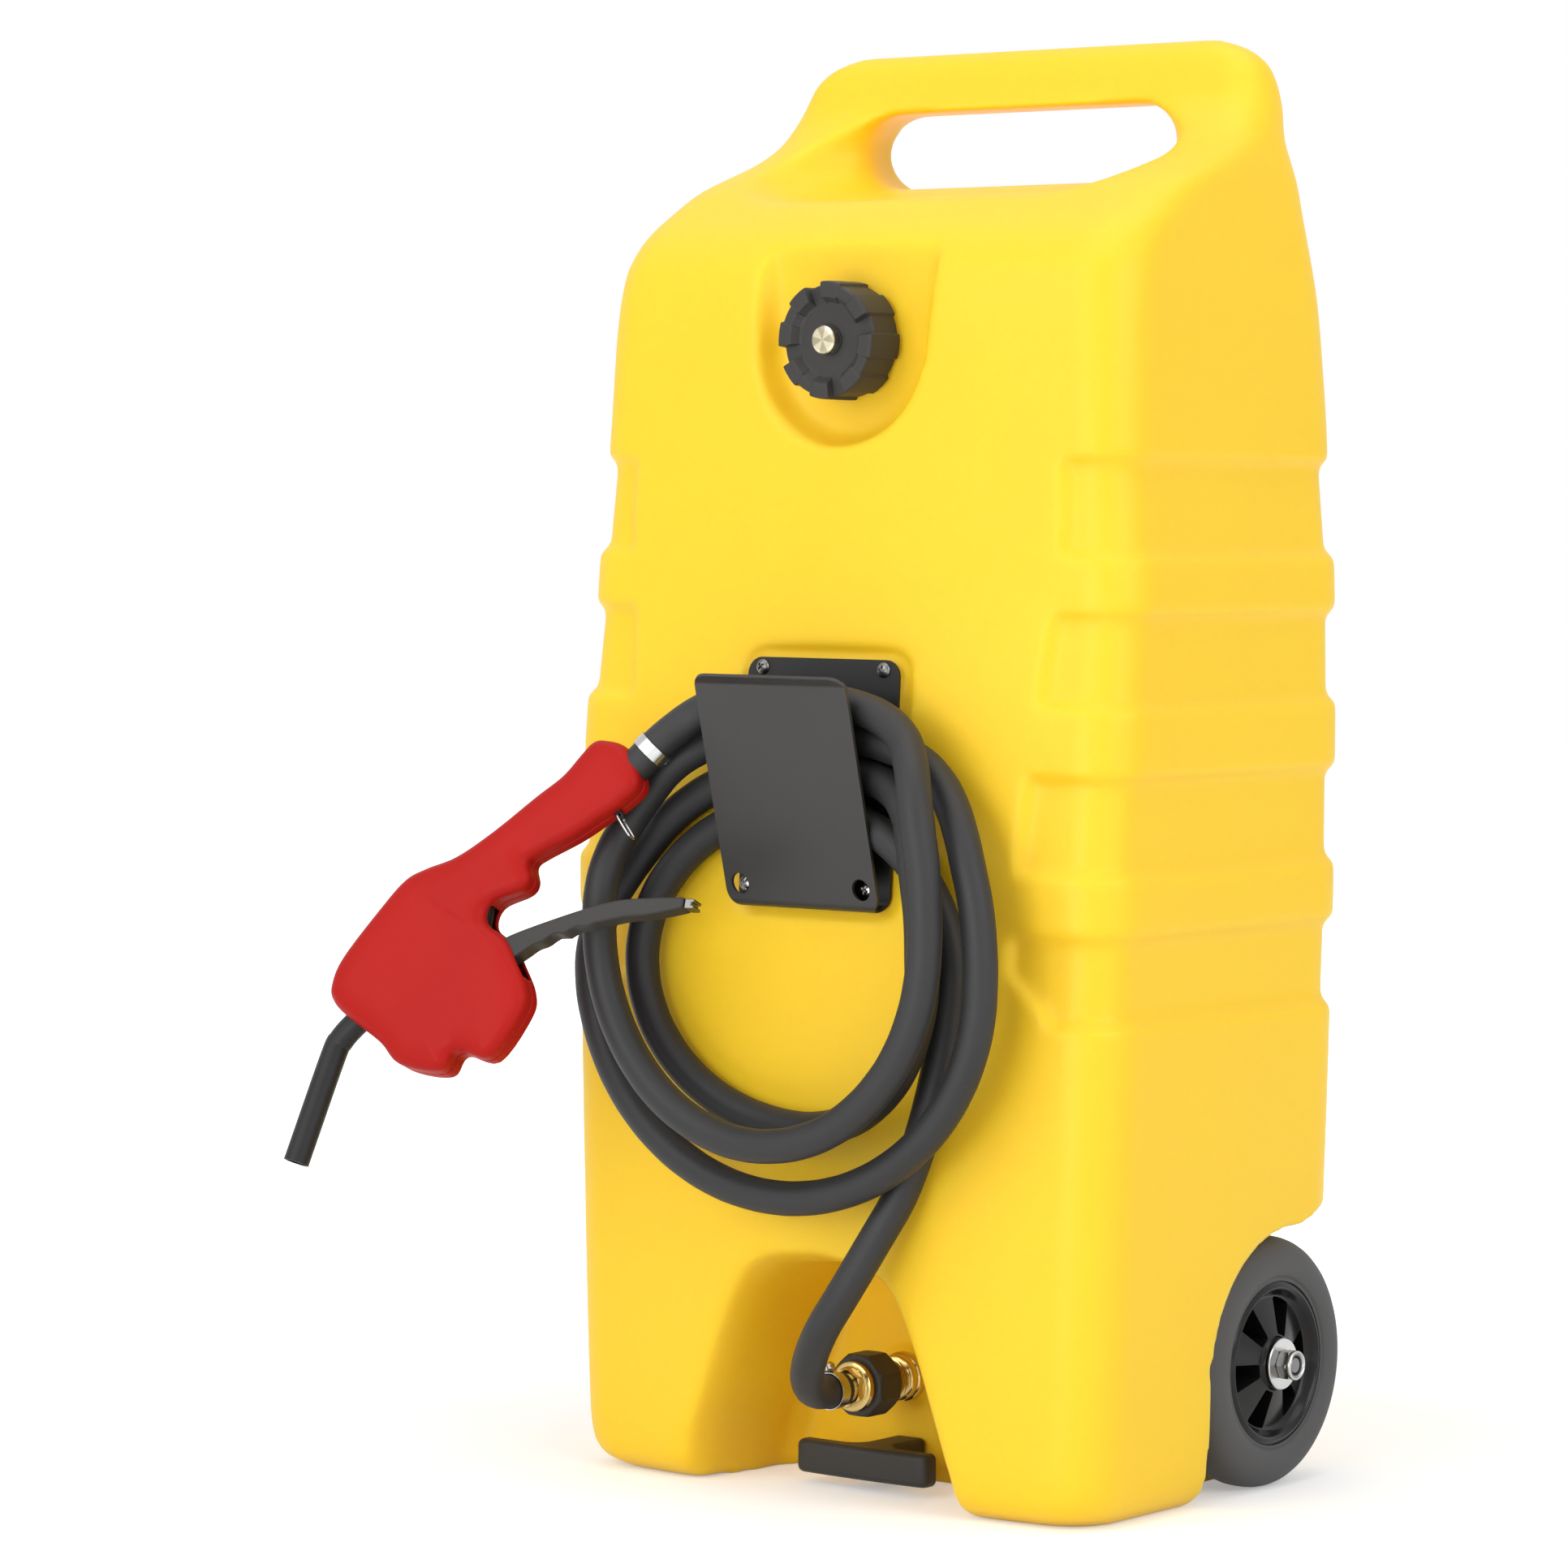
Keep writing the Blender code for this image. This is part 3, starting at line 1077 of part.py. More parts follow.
def cover_shell(side, shrink, seam, detail, rounding):
    """Half of the cover: flat at the seam, full at its sides and rounded over to the outer face."""
    outline = smooth_closed([(u * COVER_LENGTH, w * COVER_LENGTH) for u, w in COVER_OUTLINE_SHARES], detail)
    rings = [[(u, side * seam, w) for u, w in inset(outline, shrink)]]
    for drop, sink in ((COVER_ROUND, 0.0), (COVER_ROUND * 0.3, rounding * 0.3), (0.0, rounding)):
        level = inset(outline, shrink + sink)
        rings.append([(u, side * (cover_half(u) - drop - shrink), w) for u, w in level])
    return loft("cover", rings)


def make_cover():
    size = (LEVER_SLOT[0], 2 * LEVER_HALF + LEVER_SLOT_PLAY, LEVER_SLOT[1])
    slot = block(size, (LEVER_SLOT_CENTRE[0], 0, LEVER_SLOT_CENTRE[1]), LEVER_SLOT_EDGE)
    rear = tube([entry_point(-SWIVEL_LENGTH), entry_point(SWIVEL_LENGTH)], SWIVEL_RADIUS + SWIVEL_PLAY, 3)
    mouth = tube([(u, 0, w) for u, w in MOUTH_ROUTE], SPOUT_RADIUS + MOUTH_PLAY, 3)
    pivot = Matrix.Translation((LEVER_PIVOT[0], 0, LEVER_PIVOT[1])) @ FACING_FRONT
    pin = disc(PIN_RADIUS + GAP, -PIN_HALF - GAP, PIN_HALF + GAP, 12)
    pin.transform(pivot)
    cutters = [add_cutter(name, mesh, NOZZLE_FRAME) for name, mesh in
               (("cut_lever_slot", slot), ("cut_rear", rear), ("cut_mouth", mouth), ("cut_pin", pin),
                ("cut_lug_slot", latch_lug(2 * GAP)))]
    for word, side in (("front", -1), ("back", 1)):
        outside = cover_shell(side, 0, GAP / 2, 2, COVER_ROUND)
        inside = cover_shell(side, COVER_WALL, -COVER_WALL / 2, 1, COVER_ROUND * 0.4)
        shell = add_piece(f"cover_{word}", outside, "red_cover", NOZZLE_FRAME)
        hollow = add_cutter(f"cut_cover_{word}", inside, NOZZLE_FRAME)
        ends = sorted(-side * reach for reach in (LEVER_HALF + PIN_BOSS_PLAY, COVER_HALF - PIN_BOSS_PLAY))
        boss = disc(PIN_BOSS_RADIUS, ends[0], ends[1], 16)
        boss.transform(pivot)
        boolean(hollow, add_cutter(f"keep_boss_{word}", boss, NOZZLE_FRAME))
        boolean(shell, hollow)
        for cutter in cutters:
            boolean(shell, cutter)


def make_casting():
    add_piece("nozzle_swivel", tube([entry_point(-GAP), entry_point(-SWIVEL_LENGTH)], SWIVEL_RADIUS, 3),
              "zinc", NOZZLE_FRAME)
    rear = [entry_point(-SWIVEL_LENGTH - GAP), entry_point(-SWIVEL_LENGTH - CASTING_RADIUS)]
    route = rear + [(u, 0, w) for u, w in CASTING_ROUTE]
    casting = add_piece("nozzle_casting", tube(route, CASTING_RADIUS, 2), "dark_metal", NOZZLE_FRAME)
    chamber = disc(CHAMBER_RADIUS, CHAMBER_LOW, CHAMBER_HIGH, 20)
    bore = disc(CHAMBER_BORE, CHAMBER_LOW - CUT_REACH, CHAMBER_HIGH - CHAMBER_ROOF, 16)
    for mesh in (chamber, bore):
        mesh.transform(Matrix.Translation((STEM_U, 0, 0)))
    boolean(casting, add_cutter("join_chamber", chamber, NOZZLE_FRAME), "UNION")
    boolean(casting, add_cutter("cut_chamber", bore, NOZZLE_FRAME))
    high, low = CHAMBER_LOW + PACKING_DEPTH, CHAMBER_LOW - PACKING_FLANGE
    nut = turned([(STEM_RADIUS + GAP, high), (CHAMBER_BORE - GAP, high),
                  (CHAMBER_BORE - GAP, CHAMBER_LOW - GAP), (CHAMBER_RADIUS, CHAMBER_LOW - GAP),
                  (CHAMBER_RADIUS, low), (STEM_RADIUS + GAP, low)], 14, closed=True)
    nut.transform(Matrix.Translation((STEM_U, 0, 0)))
    add_piece("packing_nut", nut, "brass", NOZZLE_FRAME)
    boolean(casting, add_cutter("join_lug", latch_lug(0), NOZZLE_FRAME), "UNION")
    wire_hole = disc(LATCH_WIRE + 2 * GAP, -CUT_REACH, CUT_REACH, 12)
    wire_hole.transform(Matrix.Translation((LATCH_PIVOT[0], 0, LATCH_PIVOT[1])) @ FACING_FRONT)
    boolean(casting, add_cutter("cut_lug", wire_hole, NOZZLE_FRAME))
    top, disc_radius = POPPET_HEIGHT + POPPET_THICKNESS, CHAMBER_BORE - 2 * GAP
    stem = turned([(0, top), (disc_radius, top), (disc_radius, POPPET_HEIGHT),
                   (STEM_RADIUS, POPPET_HEIGHT - POPPET_EDGE), (STEM_RADIUS, STEM_FOOT), (0, STEM_FOOT)], 16)
    stem.transform(Matrix.Translation((STEM_U, 0, 0)))
    add_piece("valve_stem", stem, "brass", NOZZLE_FRAME)


def make_spout():
    route = smooth_open([(u, 0, w) for u, w in SPOUT_ROUTE], 2)
    spout = add_piece("nozzle_spout", tube(route, SPOUT_RADIUS, 3), "dark_metal", NOZZLE_FRAME)
    start, end = Vector(route[0]), Vector(route[-1])
    into = Vector(route[1]) - start
    beyond = end + (end - Vector(route[-2])).normalized() * CUT_REACH
    inner = [tuple(start + into.normalized() * SPOUT_WEB)] + route[2:-1] + [tuple(beyond)]
    boolean(spout, add_cutter("cut_spout", tube(inner, SPOUT_BORE, 2), NOZZLE_FRAME))


def lever_outline():
    hub = []
    for degrees in (100, 145, 190, 235, 280):
        angle = math.radians(degrees)
        hub.append((LEVER_PIVOT[0] + LEVER_HUB_RADIUS * math.cos(angle),
                    LEVER_PIVOT[1] + LEVER_HUB_RADIUS * math.sin(angle)))
    return hub + list(reversed(LEVER_BOTTOM)) + list(reversed(LEVER_TOP))


def make_lever():
    frame = add_frame("lever_axis", Matrix.Translation((LEVER_PIVOT[0], 0, LEVER_PIVOT[1])), NOZZLE_FRAME)
    flat = [(u - LEVER_PIVOT[0], -(w - LEVER_PIVOT[1])) for u, w in lever_outline()]
    mesh = prism(flat, -LEVER_HALF, LEVER_HALF, LEVER_ROUND, 1)
    mesh.transform(Matrix.Rotation(math.radians(-90), 4, "X"))
    lever = add_piece("lever", mesh, "black_plastic", frame)
    hole = disc(PIN_RADIUS + GAP, -CUT_REACH, CUT_REACH, 16)
    hole.transform(FACING_FRONT)
    boolean(lever, add_cutter("cut_lever", hole, frame))
    tip = block(TIP_SIZE, (TIP_CENTRE[0] - LEVER_PIVOT[0], 0, TIP_CENTRE[1] - LEVER_PIVOT[1]), TIP_EDGE)
    add_piece("lever_tip", tip, "zinc", frame)
    pin = disc(PIN_RADIUS, -PIN_HALF, PIN_HALF, 16)
    pin.transform(Matrix.Translation((LEVER_PIVOT[0], 0, LEVER_PIVOT[1])) @ FACING_FRONT)
    add_piece("lever_pin", pin, "zinc", NOZZLE_FRAME)


def latch_lug(grow):
    """The casting's lug, which comes out between the covers and carries the latch."""
    lug = block((LUG_SIZE[0] + grow, LUG_SIZE[1] + grow, LUG_SIZE[2]), (0, 0, LUG_OFFSET), LUG_EDGE)
    pivot = Matrix.Translation((LATCH_PIVOT[0], 0, LATCH_PIVOT[1]))
    lug.transform(pivot @ Matrix.Rotation(LATCH_LUG_ANGLE, 4, "Y"))
    return lug


def make_latch():
    frame = add_frame("latch_axis", Matrix.Translation((LATCH_PIVOT[0], 0, LATCH_PIVOT[1])), NOZZLE_FRAME)
    loop = list(LATCH_SIDE) + [(u, -v, w) for u, v, w in reversed(LATCH_SIDE)]
    add_piece("hold_latch", tube(loop, LATCH_WIRE, 1, cyclic=True), "zinc", frame)


def nozzle_axes():
    """Local X runs back along the grip, local Z up it and local Y away from the front."""
    x_axis = Vector((math.cos(NOZZLE_YAW), math.sin(NOZZLE_YAW), 0))
    level = Vector((-math.sin(NOZZLE_YAW), math.cos(NOZZLE_YAW), 0))
    z_axis = Vector((0, 0, math.cos(NOZZLE_TILT))) + level * math.sin(NOZZLE_TILT)
    y_axis = z_axis.cross(x_axis)
    turn = Matrix((x_axis, y_axis, z_axis)).transposed().to_4x4()
    return Matrix.Translation(NOZZLE_REAR) @ turn


clear_scene()
MATERIALS = make_materials()
BRACKET_FRAME = add_frame("bracket_frame", Matrix.Translation((0, BRACKET_REAR, BRACKET_BOTTOM))
                          @ Matrix.Rotation(-BRACKET_LEAN, 4, "X"))
NOZZLE_FRAME = add_frame("nozzle_frame", nozzle_axes())
make_tank()
make_cap()
make_bracket()
outlet_end = make_outlet()
make_guard()
axle_half = [make_wheel(word, side) for word, side in (("right", 1), ("left", -1))][0]
make_axle(axle_half)
make_hose(outlet_end)
make_cover()
make_casting()
make_spout()
make_lever()
make_latch()
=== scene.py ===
# %% [markdown]
# A two-wheeled fuel caddy, dressed for the camera.
# The solids of the caddy come in as a fixed frame. Each visible piece is built again here with
# finer shapes, and every surface gets a finish made of shader nodes. Sizes are in metres, the
# front faces -Y, +X is to the right and +Z is up.

# %% Load the frame and note its box
import json
import math

import bmesh
import bpy
import numpy as np
from mathutils import Matrix, Vector

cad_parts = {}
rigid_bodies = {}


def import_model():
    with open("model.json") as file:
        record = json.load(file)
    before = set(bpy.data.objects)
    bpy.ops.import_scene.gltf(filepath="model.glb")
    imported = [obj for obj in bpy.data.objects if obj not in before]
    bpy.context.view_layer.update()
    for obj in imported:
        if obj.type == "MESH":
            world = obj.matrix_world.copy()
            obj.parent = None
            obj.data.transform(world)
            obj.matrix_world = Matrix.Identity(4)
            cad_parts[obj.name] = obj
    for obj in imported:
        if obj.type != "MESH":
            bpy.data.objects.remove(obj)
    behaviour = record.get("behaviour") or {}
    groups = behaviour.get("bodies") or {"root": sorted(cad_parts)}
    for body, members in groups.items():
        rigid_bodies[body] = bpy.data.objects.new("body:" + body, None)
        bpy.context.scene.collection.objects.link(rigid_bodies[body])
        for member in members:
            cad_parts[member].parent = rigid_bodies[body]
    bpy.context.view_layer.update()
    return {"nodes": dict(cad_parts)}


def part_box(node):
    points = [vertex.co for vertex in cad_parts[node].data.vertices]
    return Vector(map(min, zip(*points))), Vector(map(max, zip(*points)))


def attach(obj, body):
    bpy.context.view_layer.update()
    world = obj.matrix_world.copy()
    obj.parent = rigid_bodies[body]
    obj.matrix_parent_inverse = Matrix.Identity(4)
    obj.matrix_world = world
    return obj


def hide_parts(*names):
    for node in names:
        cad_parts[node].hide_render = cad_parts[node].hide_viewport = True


for leftover in list(bpy.data.objects):
    bpy.data.objects.remove(leftover)
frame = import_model()


def shown(name, data):
    """A new object in the scene."""
    made = bpy.data.objects.new(name, data)
    bpy.context.scene.collection.objects.link(made)
    return made


# %% [markdown]
# The camera stands to the right of the caddy and a little above its middle, far away, so the
# sides hardly converge. Three angles and a distance place it. A long lens keeps the picture flat.

# %% Camera
AZIMUTH, PITCH, ROLL = math.radians(37.9528), math.radians(2.8983), math.radians(0.34055)
CAMERA_PLACE, LENS, SENSOR, FAR_CLIP = (2.33380, -3.18566, 0.69264), 127.37, 36, 50


def camera_axes():
    """Right, up and backward directions of the camera."""
    forward = Vector((-math.sin(AZIMUTH) * math.cos(PITCH), math.cos(AZIMUTH) * math.cos(PITCH), -math.sin(PITCH)))
    level = Vector((math.cos(AZIMUTH), math.sin(AZIMUTH), 0))
    upright = level.cross(forward)
    right = level * math.cos(ROLL) + upright * math.sin(ROLL)
    up = upright * math.cos(ROLL) - level * math.sin(ROLL)
    return right, up, -forward


camera = shown("camera", bpy.data.cameras.new("camera"))
camera.data.lens, camera.data.sensor_width, camera.data.clip_end = LENS, SENSOR, FAR_CLIP
camera.matrix_world = Matrix.Translation(CAMERA_PLACE) @ Matrix(camera_axes()).transposed().to_4x4()
bpy.context.scene.camera = camera
print("camera at", [round(v, 3) for v in camera.location])

# %% [markdown]
# Small tools that the pieces share. A loft joins rings of points, a turned shape sweeps a profile
# round local Z, a tube follows a line, and a rod is a plain bar that mostly drills holes. Modifiers
# are applied at once, so that each piece ends as one clean mesh that can ride on its part of the
# caddy.

# %% Mesh helpers
def finish_mesh(shape, sharp=40):
    mesh = bpy.data.meshes.new("piece")
    shape.to_mesh(mesh)
    shape.free()
    mesh.shade_smooth()
    mesh.set_sharp_from_angle(angle=math.radians(sharp))
    return mesh


def loose(data):
    return shown("loose", data)


def welded(mesh, sharp=40):
    """The mesh with points in one place made one, and its faces turned outwards."""
    shape = bmesh.new()
    shape.from_mesh(mesh)
    bmesh.ops.remove_doubles(shape, verts=shape.verts, dist=0.000005)
    bmesh.ops.recalc_face_normals(shape, faces=shape.faces)
    return finish_mesh(shape, sharp)


def joined(meshes, sharp=40):
    """Several closed meshes as one piece."""
    shape = bmesh.new()
    for mesh in meshes:
        shape.from_mesh(mesh)
    return finish_mesh(shape, sharp)


def baked(piece, sharp=40):
    """The piece's mesh with its modifiers or curve settings applied; the piece itself goes."""
    graph = bpy.context.evaluated_depsgraph_get()
    mesh = bpy.data.meshes.new_from_object(piece.evaluated_get(graph))
    made = welded(mesh, sharp)
    bpy.data.meshes.remove(mesh)
    bpy.data.objects.remove(piece)
    return made


def loft(rings, around=True, capped=True):
    """Rings of equally many points joined in order."""
    shape = bmesh.new()
    rows = [[shape.verts.new(point) for point in one] for one in rings]
    count = len(rows[0])
    for lower, upper in zip(rows, rows[1:]):
        for index in range(count if around else count - 1):
            after = (index + 1) % count
            shape.faces.new((lower[index], lower[after], upper[after], upper[index]))
    if capped:
        shape.faces.new(list(reversed(rows[0])))
        shape.faces.new(rows[-1])
    bmesh.ops.recalc_face_normals(shape, faces=shape.faces)
    return finish_mesh(shape)


def turned(profile, steps=96, closed=False):
    """(radius, height) points swept round local Z."""
    edges = [(index, index + 1) for index in range(len(profile) - 1)]
    if closed:
        edges.append((len(profile) - 1, 0))
    mesh = bpy.data.meshes.new("profile")
    mesh.from_pydata([(radius, 0, height) for radius, height in profile], edges, [])
    piece = loose(mesh)
    screw = piece.modifiers.new("turn", "SCREW")
    screw.steps = screw.render_steps = steps
    screw.use_merge_vertices = True
    screw.merge_threshold = 0.00001
    return baked(piece)


def rod(radius, low, high, steps=24):
    return turned([(0, high), (radius, high), (radius, low), (0, low)], steps)


def tube(points, radius, resolution=6, cyclic=False):
    curve = bpy.data.curves.new("route", "CURVE")
    curve.dimensions = "3D"
    curve.bevel_depth = radius
    curve.bevel_resolution = resolution
    curve.use_fill_caps = not cyclic
    spline = curve.splines.new("POLY")
    spline.points.add(len(points) - 1)
    for target, point in zip(spline.points, points):
        target.co = (*point, 1)
    spline.use_cyclic_u = cyclic
    return baked(loose(curve))


def block(size, centre):
    shape = bmesh.new()
    bmesh.ops.create_cube(shape, size=1)
    bmesh.ops.scale(shape, vec=size, verts=shape.verts)
    bmesh.ops.translate(shape, vec=centre, verts=shape.verts)
    return finish_mesh(shape)


def prism(outline, low, high):
    return loft([[(x, y, low) for x, y in outline], [(x, y, high) for x, y in outline]])


def ring_bar(inner, outer, low, high, steps=96):
    return turned([(inner, high), (outer, high), (outer, low), (inner, low)], steps, closed=True)


def softened(mesh, width, segments=3, angle=28):
    """The mesh with its hard edges rounded over."""
    piece = loose(mesh)
    bevel = piece.modifiers.new("round over", "BEVEL")
    bevel.width = width
    bevel.segments = segments
    bevel.limit_method = "ANGLE"
    bevel.angle_limit = math.radians(angle)
    bevel.use_clamp_overlap = True
    return baked(piece)


def carved(mesh, cutters, operation="DIFFERENCE", solver="EXACT"):
    piece, tools = loose(mesh), [loose(cutter) for cutter in cutters]
    for tool in tools:
        cut = piece.modifiers.new("carve", "BOOLEAN")
        cut.operation, cut.solver, cut.object = operation, solver, tool
    made = baked(piece)
    for tool in tools:
        bpy.data.objects.remove(tool)
    return made


def moved(mesh, matrix):
    mesh.transform(matrix)
    return mesh


FACING_FRONT = Matrix.Rotation(math.radians(90), 4, "X")
FACING_RIGHT = Matrix.Rotation(math.radians(90), 4, "Y")
FACING_LEFT = Matrix.Rotation(math.radians(-90), 4, "Y")


# %% Curve helpers
def spline_points(points, count):
    """Points along a Catmull-Rom curve between the second and the last but one."""
    found = []
    for start in range(len(points) - 3):
        p0, p1, p2, p3 = points[start:start + 4]
        for step in range(count):
            t = step / count
            found.append(0.5 * (2 * p1 + (p2 - p0) * t + (2 * p0 - 5 * p1 + 4 * p2 - p3) * t ** 2
                                + (3 * p1 - p0 - 3 * p2 + p3) * t ** 3))
    found.append(points[-2])
    return [tuple(float(value) for value in point) for point in found]


def smooth_closed(points, count):
    points = np.array(points)
    return spline_points(np.vstack([points[-1:], points, points[:2]]), count)[:-1]


def smooth_open(points, count):
    points = np.array(points)
    return spline_points(np.vstack([2 * points[0] - points[1], points, 2 * points[-1] - points[-2]]), count)


def even_points(points, spacing):
    line = np.array(points)
    travel = np.concatenate([[0], np.cumsum(np.linalg.norm(np.diff(line, axis=0), axis=1))])
    marks = np.linspace(0, travel[-1], max(int(round(travel[-1] / spacing)), 2) + 1)
    return [tuple(float(np.interp(mark, travel, line[:, axis])) for axis in range(line.shape[1])) for mark in marks]


def inset(outline, distance):
    """The outline moved inwards by a distance, corner by corner."""
    points = np.array(outline)
    before = points - np.roll(points, 1, axis=0)
    after = np.roll(points, -1, axis=0) - points
    area = np.sum(points[:, 0] * np.roll(points[:, 1], -1) - np.roll(points[:, 0], -1) * points[:, 1])
    first = before / np.linalg.norm(before, axis=1)[:, None]
    second = after / np.linalg.norm(after, axis=1)[:, None]
    along = (first + second) / np.linalg.norm(first + second, axis=1)[:, None]
    across = np.stack([-along[:, 1], along[:, 0]], axis=1) * (1.0 if area > 0 else -1.0)
    return (points + across * distance / np.maximum(np.sum(along * first, axis=1), 0.6)[:, None]).tolist()


def ease(share):
    """A step from 0 to 1 with soft ends."""
    share = np.clip(share, 0, 1)
    return share * share * (3 - 2 * share)


def monotone(heights, values, at):
    """A smooth curve through the stations that never swings past them."""
    step = np.diff(heights)
    rise = np.diff(values) / step
    slope = np.concatenate([rise[:1], np.zeros(len(rise) - 1), rise[-1:]])
    same = np.nonzero(rise[:-1] * rise[1:] > 0)[0]
    slope[same + 1] = 2 * rise[same] * rise[same + 1] / (rise[same] + rise[same + 1])
    place = int(np.clip(np.searchsorted(heights, at, side="right") - 1, 0, len(step) - 1))
    t = (at - heights[place]) / step[place]
    return float(values[place] * (1 + 2 * t) * (1 - t) ** 2 + step[place] * slope[place] * t * (1 - t) ** 2
                 + values[place + 1] * t * t * (3 - 2 * t) + step[place] * slope[place + 1] * t * t * (t - 1))


# %% [markdown]
# Finishes. Moulded plastic, rubber and plated metal all show a fine grain, a slow change of tone
# and a few marks from handling. These are node groups, built once. Each group measures the surface
# from the piece's own coordinates and gives out values only, and the shader stays in the material.

# %% Node groups
def new_group(name, inputs, outputs):
    group = bpy.data.node_groups.new(name, "ShaderNodeTree")
    for socket, default in inputs:
        made = group.interface.new_socket(name=socket, in_out="INPUT", socket_type="NodeSocketFloat")
        made.default_value = default
    for socket in outputs:
        group.interface.new_socket(name=socket, in_out="OUTPUT", socket_type="NodeSocketFloat")
    return group, group.nodes.new("NodeGroupInput"), group.nodes.new("NodeGroupOutput")


def math_node(tree, operation, first, second=0.0, clamp=False):
    node = tree.nodes.new("ShaderNodeMath")
    node.operation = operation
    node.use_clamp = clamp
    for socket, value in zip(node.inputs, (first, second)):
        if isinstance(value, (int, float)):
            socket.default_value = value
        else:
            tree.links.new(value, socket)
    return node.outputs[0]


def own_place(tree):
    """The piece's own coordinates."""
    return tree.nodes.new("ShaderNodeTexCoord").outputs["Object"]


def own_axes(tree):
    axes = tree.nodes.new("ShaderNodeSeparateXYZ")
    tree.links.new(own_place(tree), axes.inputs[0])
    return axes.outputs


def from_axis(tree, axes):
    """How far the surface is from local Z."""
    squares = [math_node(tree, "MULTIPLY", axes[word], axes[word]) for word in "XY"]
    return math_node(tree, "SQRT", math_node(tree, "ADD", *squares))


def noise_node(tree, vector, scale, detail=3.0, roughness=0.55):
    node = tree.nodes.new("ShaderNodeTexNoise")
    node.inputs["Detail"].default_value = detail
    node.inputs["Roughness"].default_value = roughness
    tree.links.new(vector, node.inputs["Vector"])
    if isinstance(scale, (int, float)):
        node.inputs["Scale"].default_value = scale
    else:
        tree.links.new(scale, node.inputs["Scale"])
    return node.outputs[0]


def grain_group():
    """Fine grain for the bump, and a slow change of tone."""
    tree, into, out = new_group("surface grain", [("Grain Scale", 900.0), ("Tone Scale", 8.0)], ["Height", "Tone"])
    place = own_place(tree)
    tree.links.new(noise_node(tree, place, into.outputs["Grain Scale"], 2.0), out.inputs["Height"])
    tree.links.new(noise_node(tree, place, into.outputs["Tone Scale"], 4.0), out.inputs["Tone"])
    return tree


def marks_group():
    """Sparse fine scuffs from handling, longer one way than the other."""
    tree, into, out = new_group("handling marks", [("Scale", 30.0), ("Amount", 0.5)], ["Mask"])
    place = own_place(tree)
    stretch = tree.nodes.new("ShaderNodeMapping")
    stretch.inputs["Scale"].default_value = (1.0, 1.0, 5.0)
    stretch.inputs["Rotation"].default_value = (0.5, 0.9, 0.3)
    tree.links.new(place, stretch.inputs["Vector"])
    streaks = noise_node(tree, stretch.outputs[0], into.outputs["Scale"], 8.0, 0.7)
    patches = noise_node(tree, place, 14.0, 2.0)
    thin = math_node(tree, "MULTIPLY", math_node(tree, "SUBTRACT", streaks, 0.60), 9.0, clamp=True)
    where = math_node(tree, "MULTIPLY", math_node(tree, "SUBTRACT", patches, 0.48), 6.0, clamp=True)
    both = math_node(tree, "MULTIPLY", thin, where)
    tree.links.new(math_node(tree, "MULTIPLY", both, into.outputs["Amount"], clamp=True), out.inputs["Mask"])
    return tree


def dust_group():
    """A thin film of dust that settles on faces that look up."""
    tree, into, out = new_group("settled dust", [("Amount", 0.2), ("Scale", 60.0)], ["Mask"])
    normal = tree.nodes.new("ShaderNodeSeparateXYZ")
    tree.links.new(tree.nodes.new("ShaderNodeNewGeometry").outputs["Normal"], normal.inputs[0])
    up = math_node(tree, "POWER", math_node(tree, "MAXIMUM", normal.outputs["Z"], 0.0), 2.0)
    place = own_place(tree)
    uneven = math_node(tree, "ADD", noise_node(tree, place, into.outputs["Scale"], 5.0), 0.25)
    film = math_node(tree, "MULTIPLY", up, uneven)
    tree.links.new(math_node(tree, "MULTIPLY", film, into.outputs["Amount"], clamp=True), out.inputs["Mask"])
    return tree


def rings_group():
    """The fine rings that a lathe leaves round local Z."""
    tree, into, out = new_group("turned rings", [("Rings per Metre", 3000.0)], ["Height"])
    axes = own_axes(tree)
    along = math_node(tree, "ADD", from_axis(tree, axes), axes["Z"])
    turns = math_node(tree, "MULTIPLY", along, into.outputs["Rings per Metre"])
    wave = math_node(tree, "SINE", math_node(tree, "MULTIPLY", turns, math.tau))
    tree.links.new(math_node(tree, "MULTIPLY", math_node(tree, "ADD", wave, 1.0), 0.5), out.inputs["Height"])
    return tree


GRAIN, MARKS, DUST, RINGS = grain_group(), marks_group(), dust_group(), rings_group()
print("node groups:", [group.name for group in (GRAIN, MARKS, DUST, RINGS)])


# %% [markdown]
# One maker for all finishes: the tone moves the colour a little either way, marks and dust lie on
# top of it, and roughness follows them. Fixed qualities, such as metal or coat, sit on the shader.

# %% Finish maker
COAT_ROUGHNESS, GLOW_SPREAD, GLOW_DEPTH = 0.12, (1.0, 0.40, 0.06), 0.03
DUST_SCALE, DUST_COLOUR = 60.0, (0.42, 0.39, 0.34)
FINISHES = {}


def placed(tree, group, **values):
    node = tree.nodes.new("ShaderNodeGroup")
    node.node_tree = group
    for name, value in values.items():
        node.inputs[name.replace("_", " ")].default_value = value
    return node


def mix_colour(tree, share, first, second):
    node = tree.nodes.new("ShaderNodeMix")
    node.data_type = "RGBA"
    tree.links.new(share, node.inputs["Factor"])
    for socket, value in ((node.inputs["A"], first), (node.inputs["B"], second)):
        if isinstance(value, tuple):
            socket.default_value = (*value, 1.0)
        else:
            tree.links.new(value, socket)
    return node.outputs["Result"]


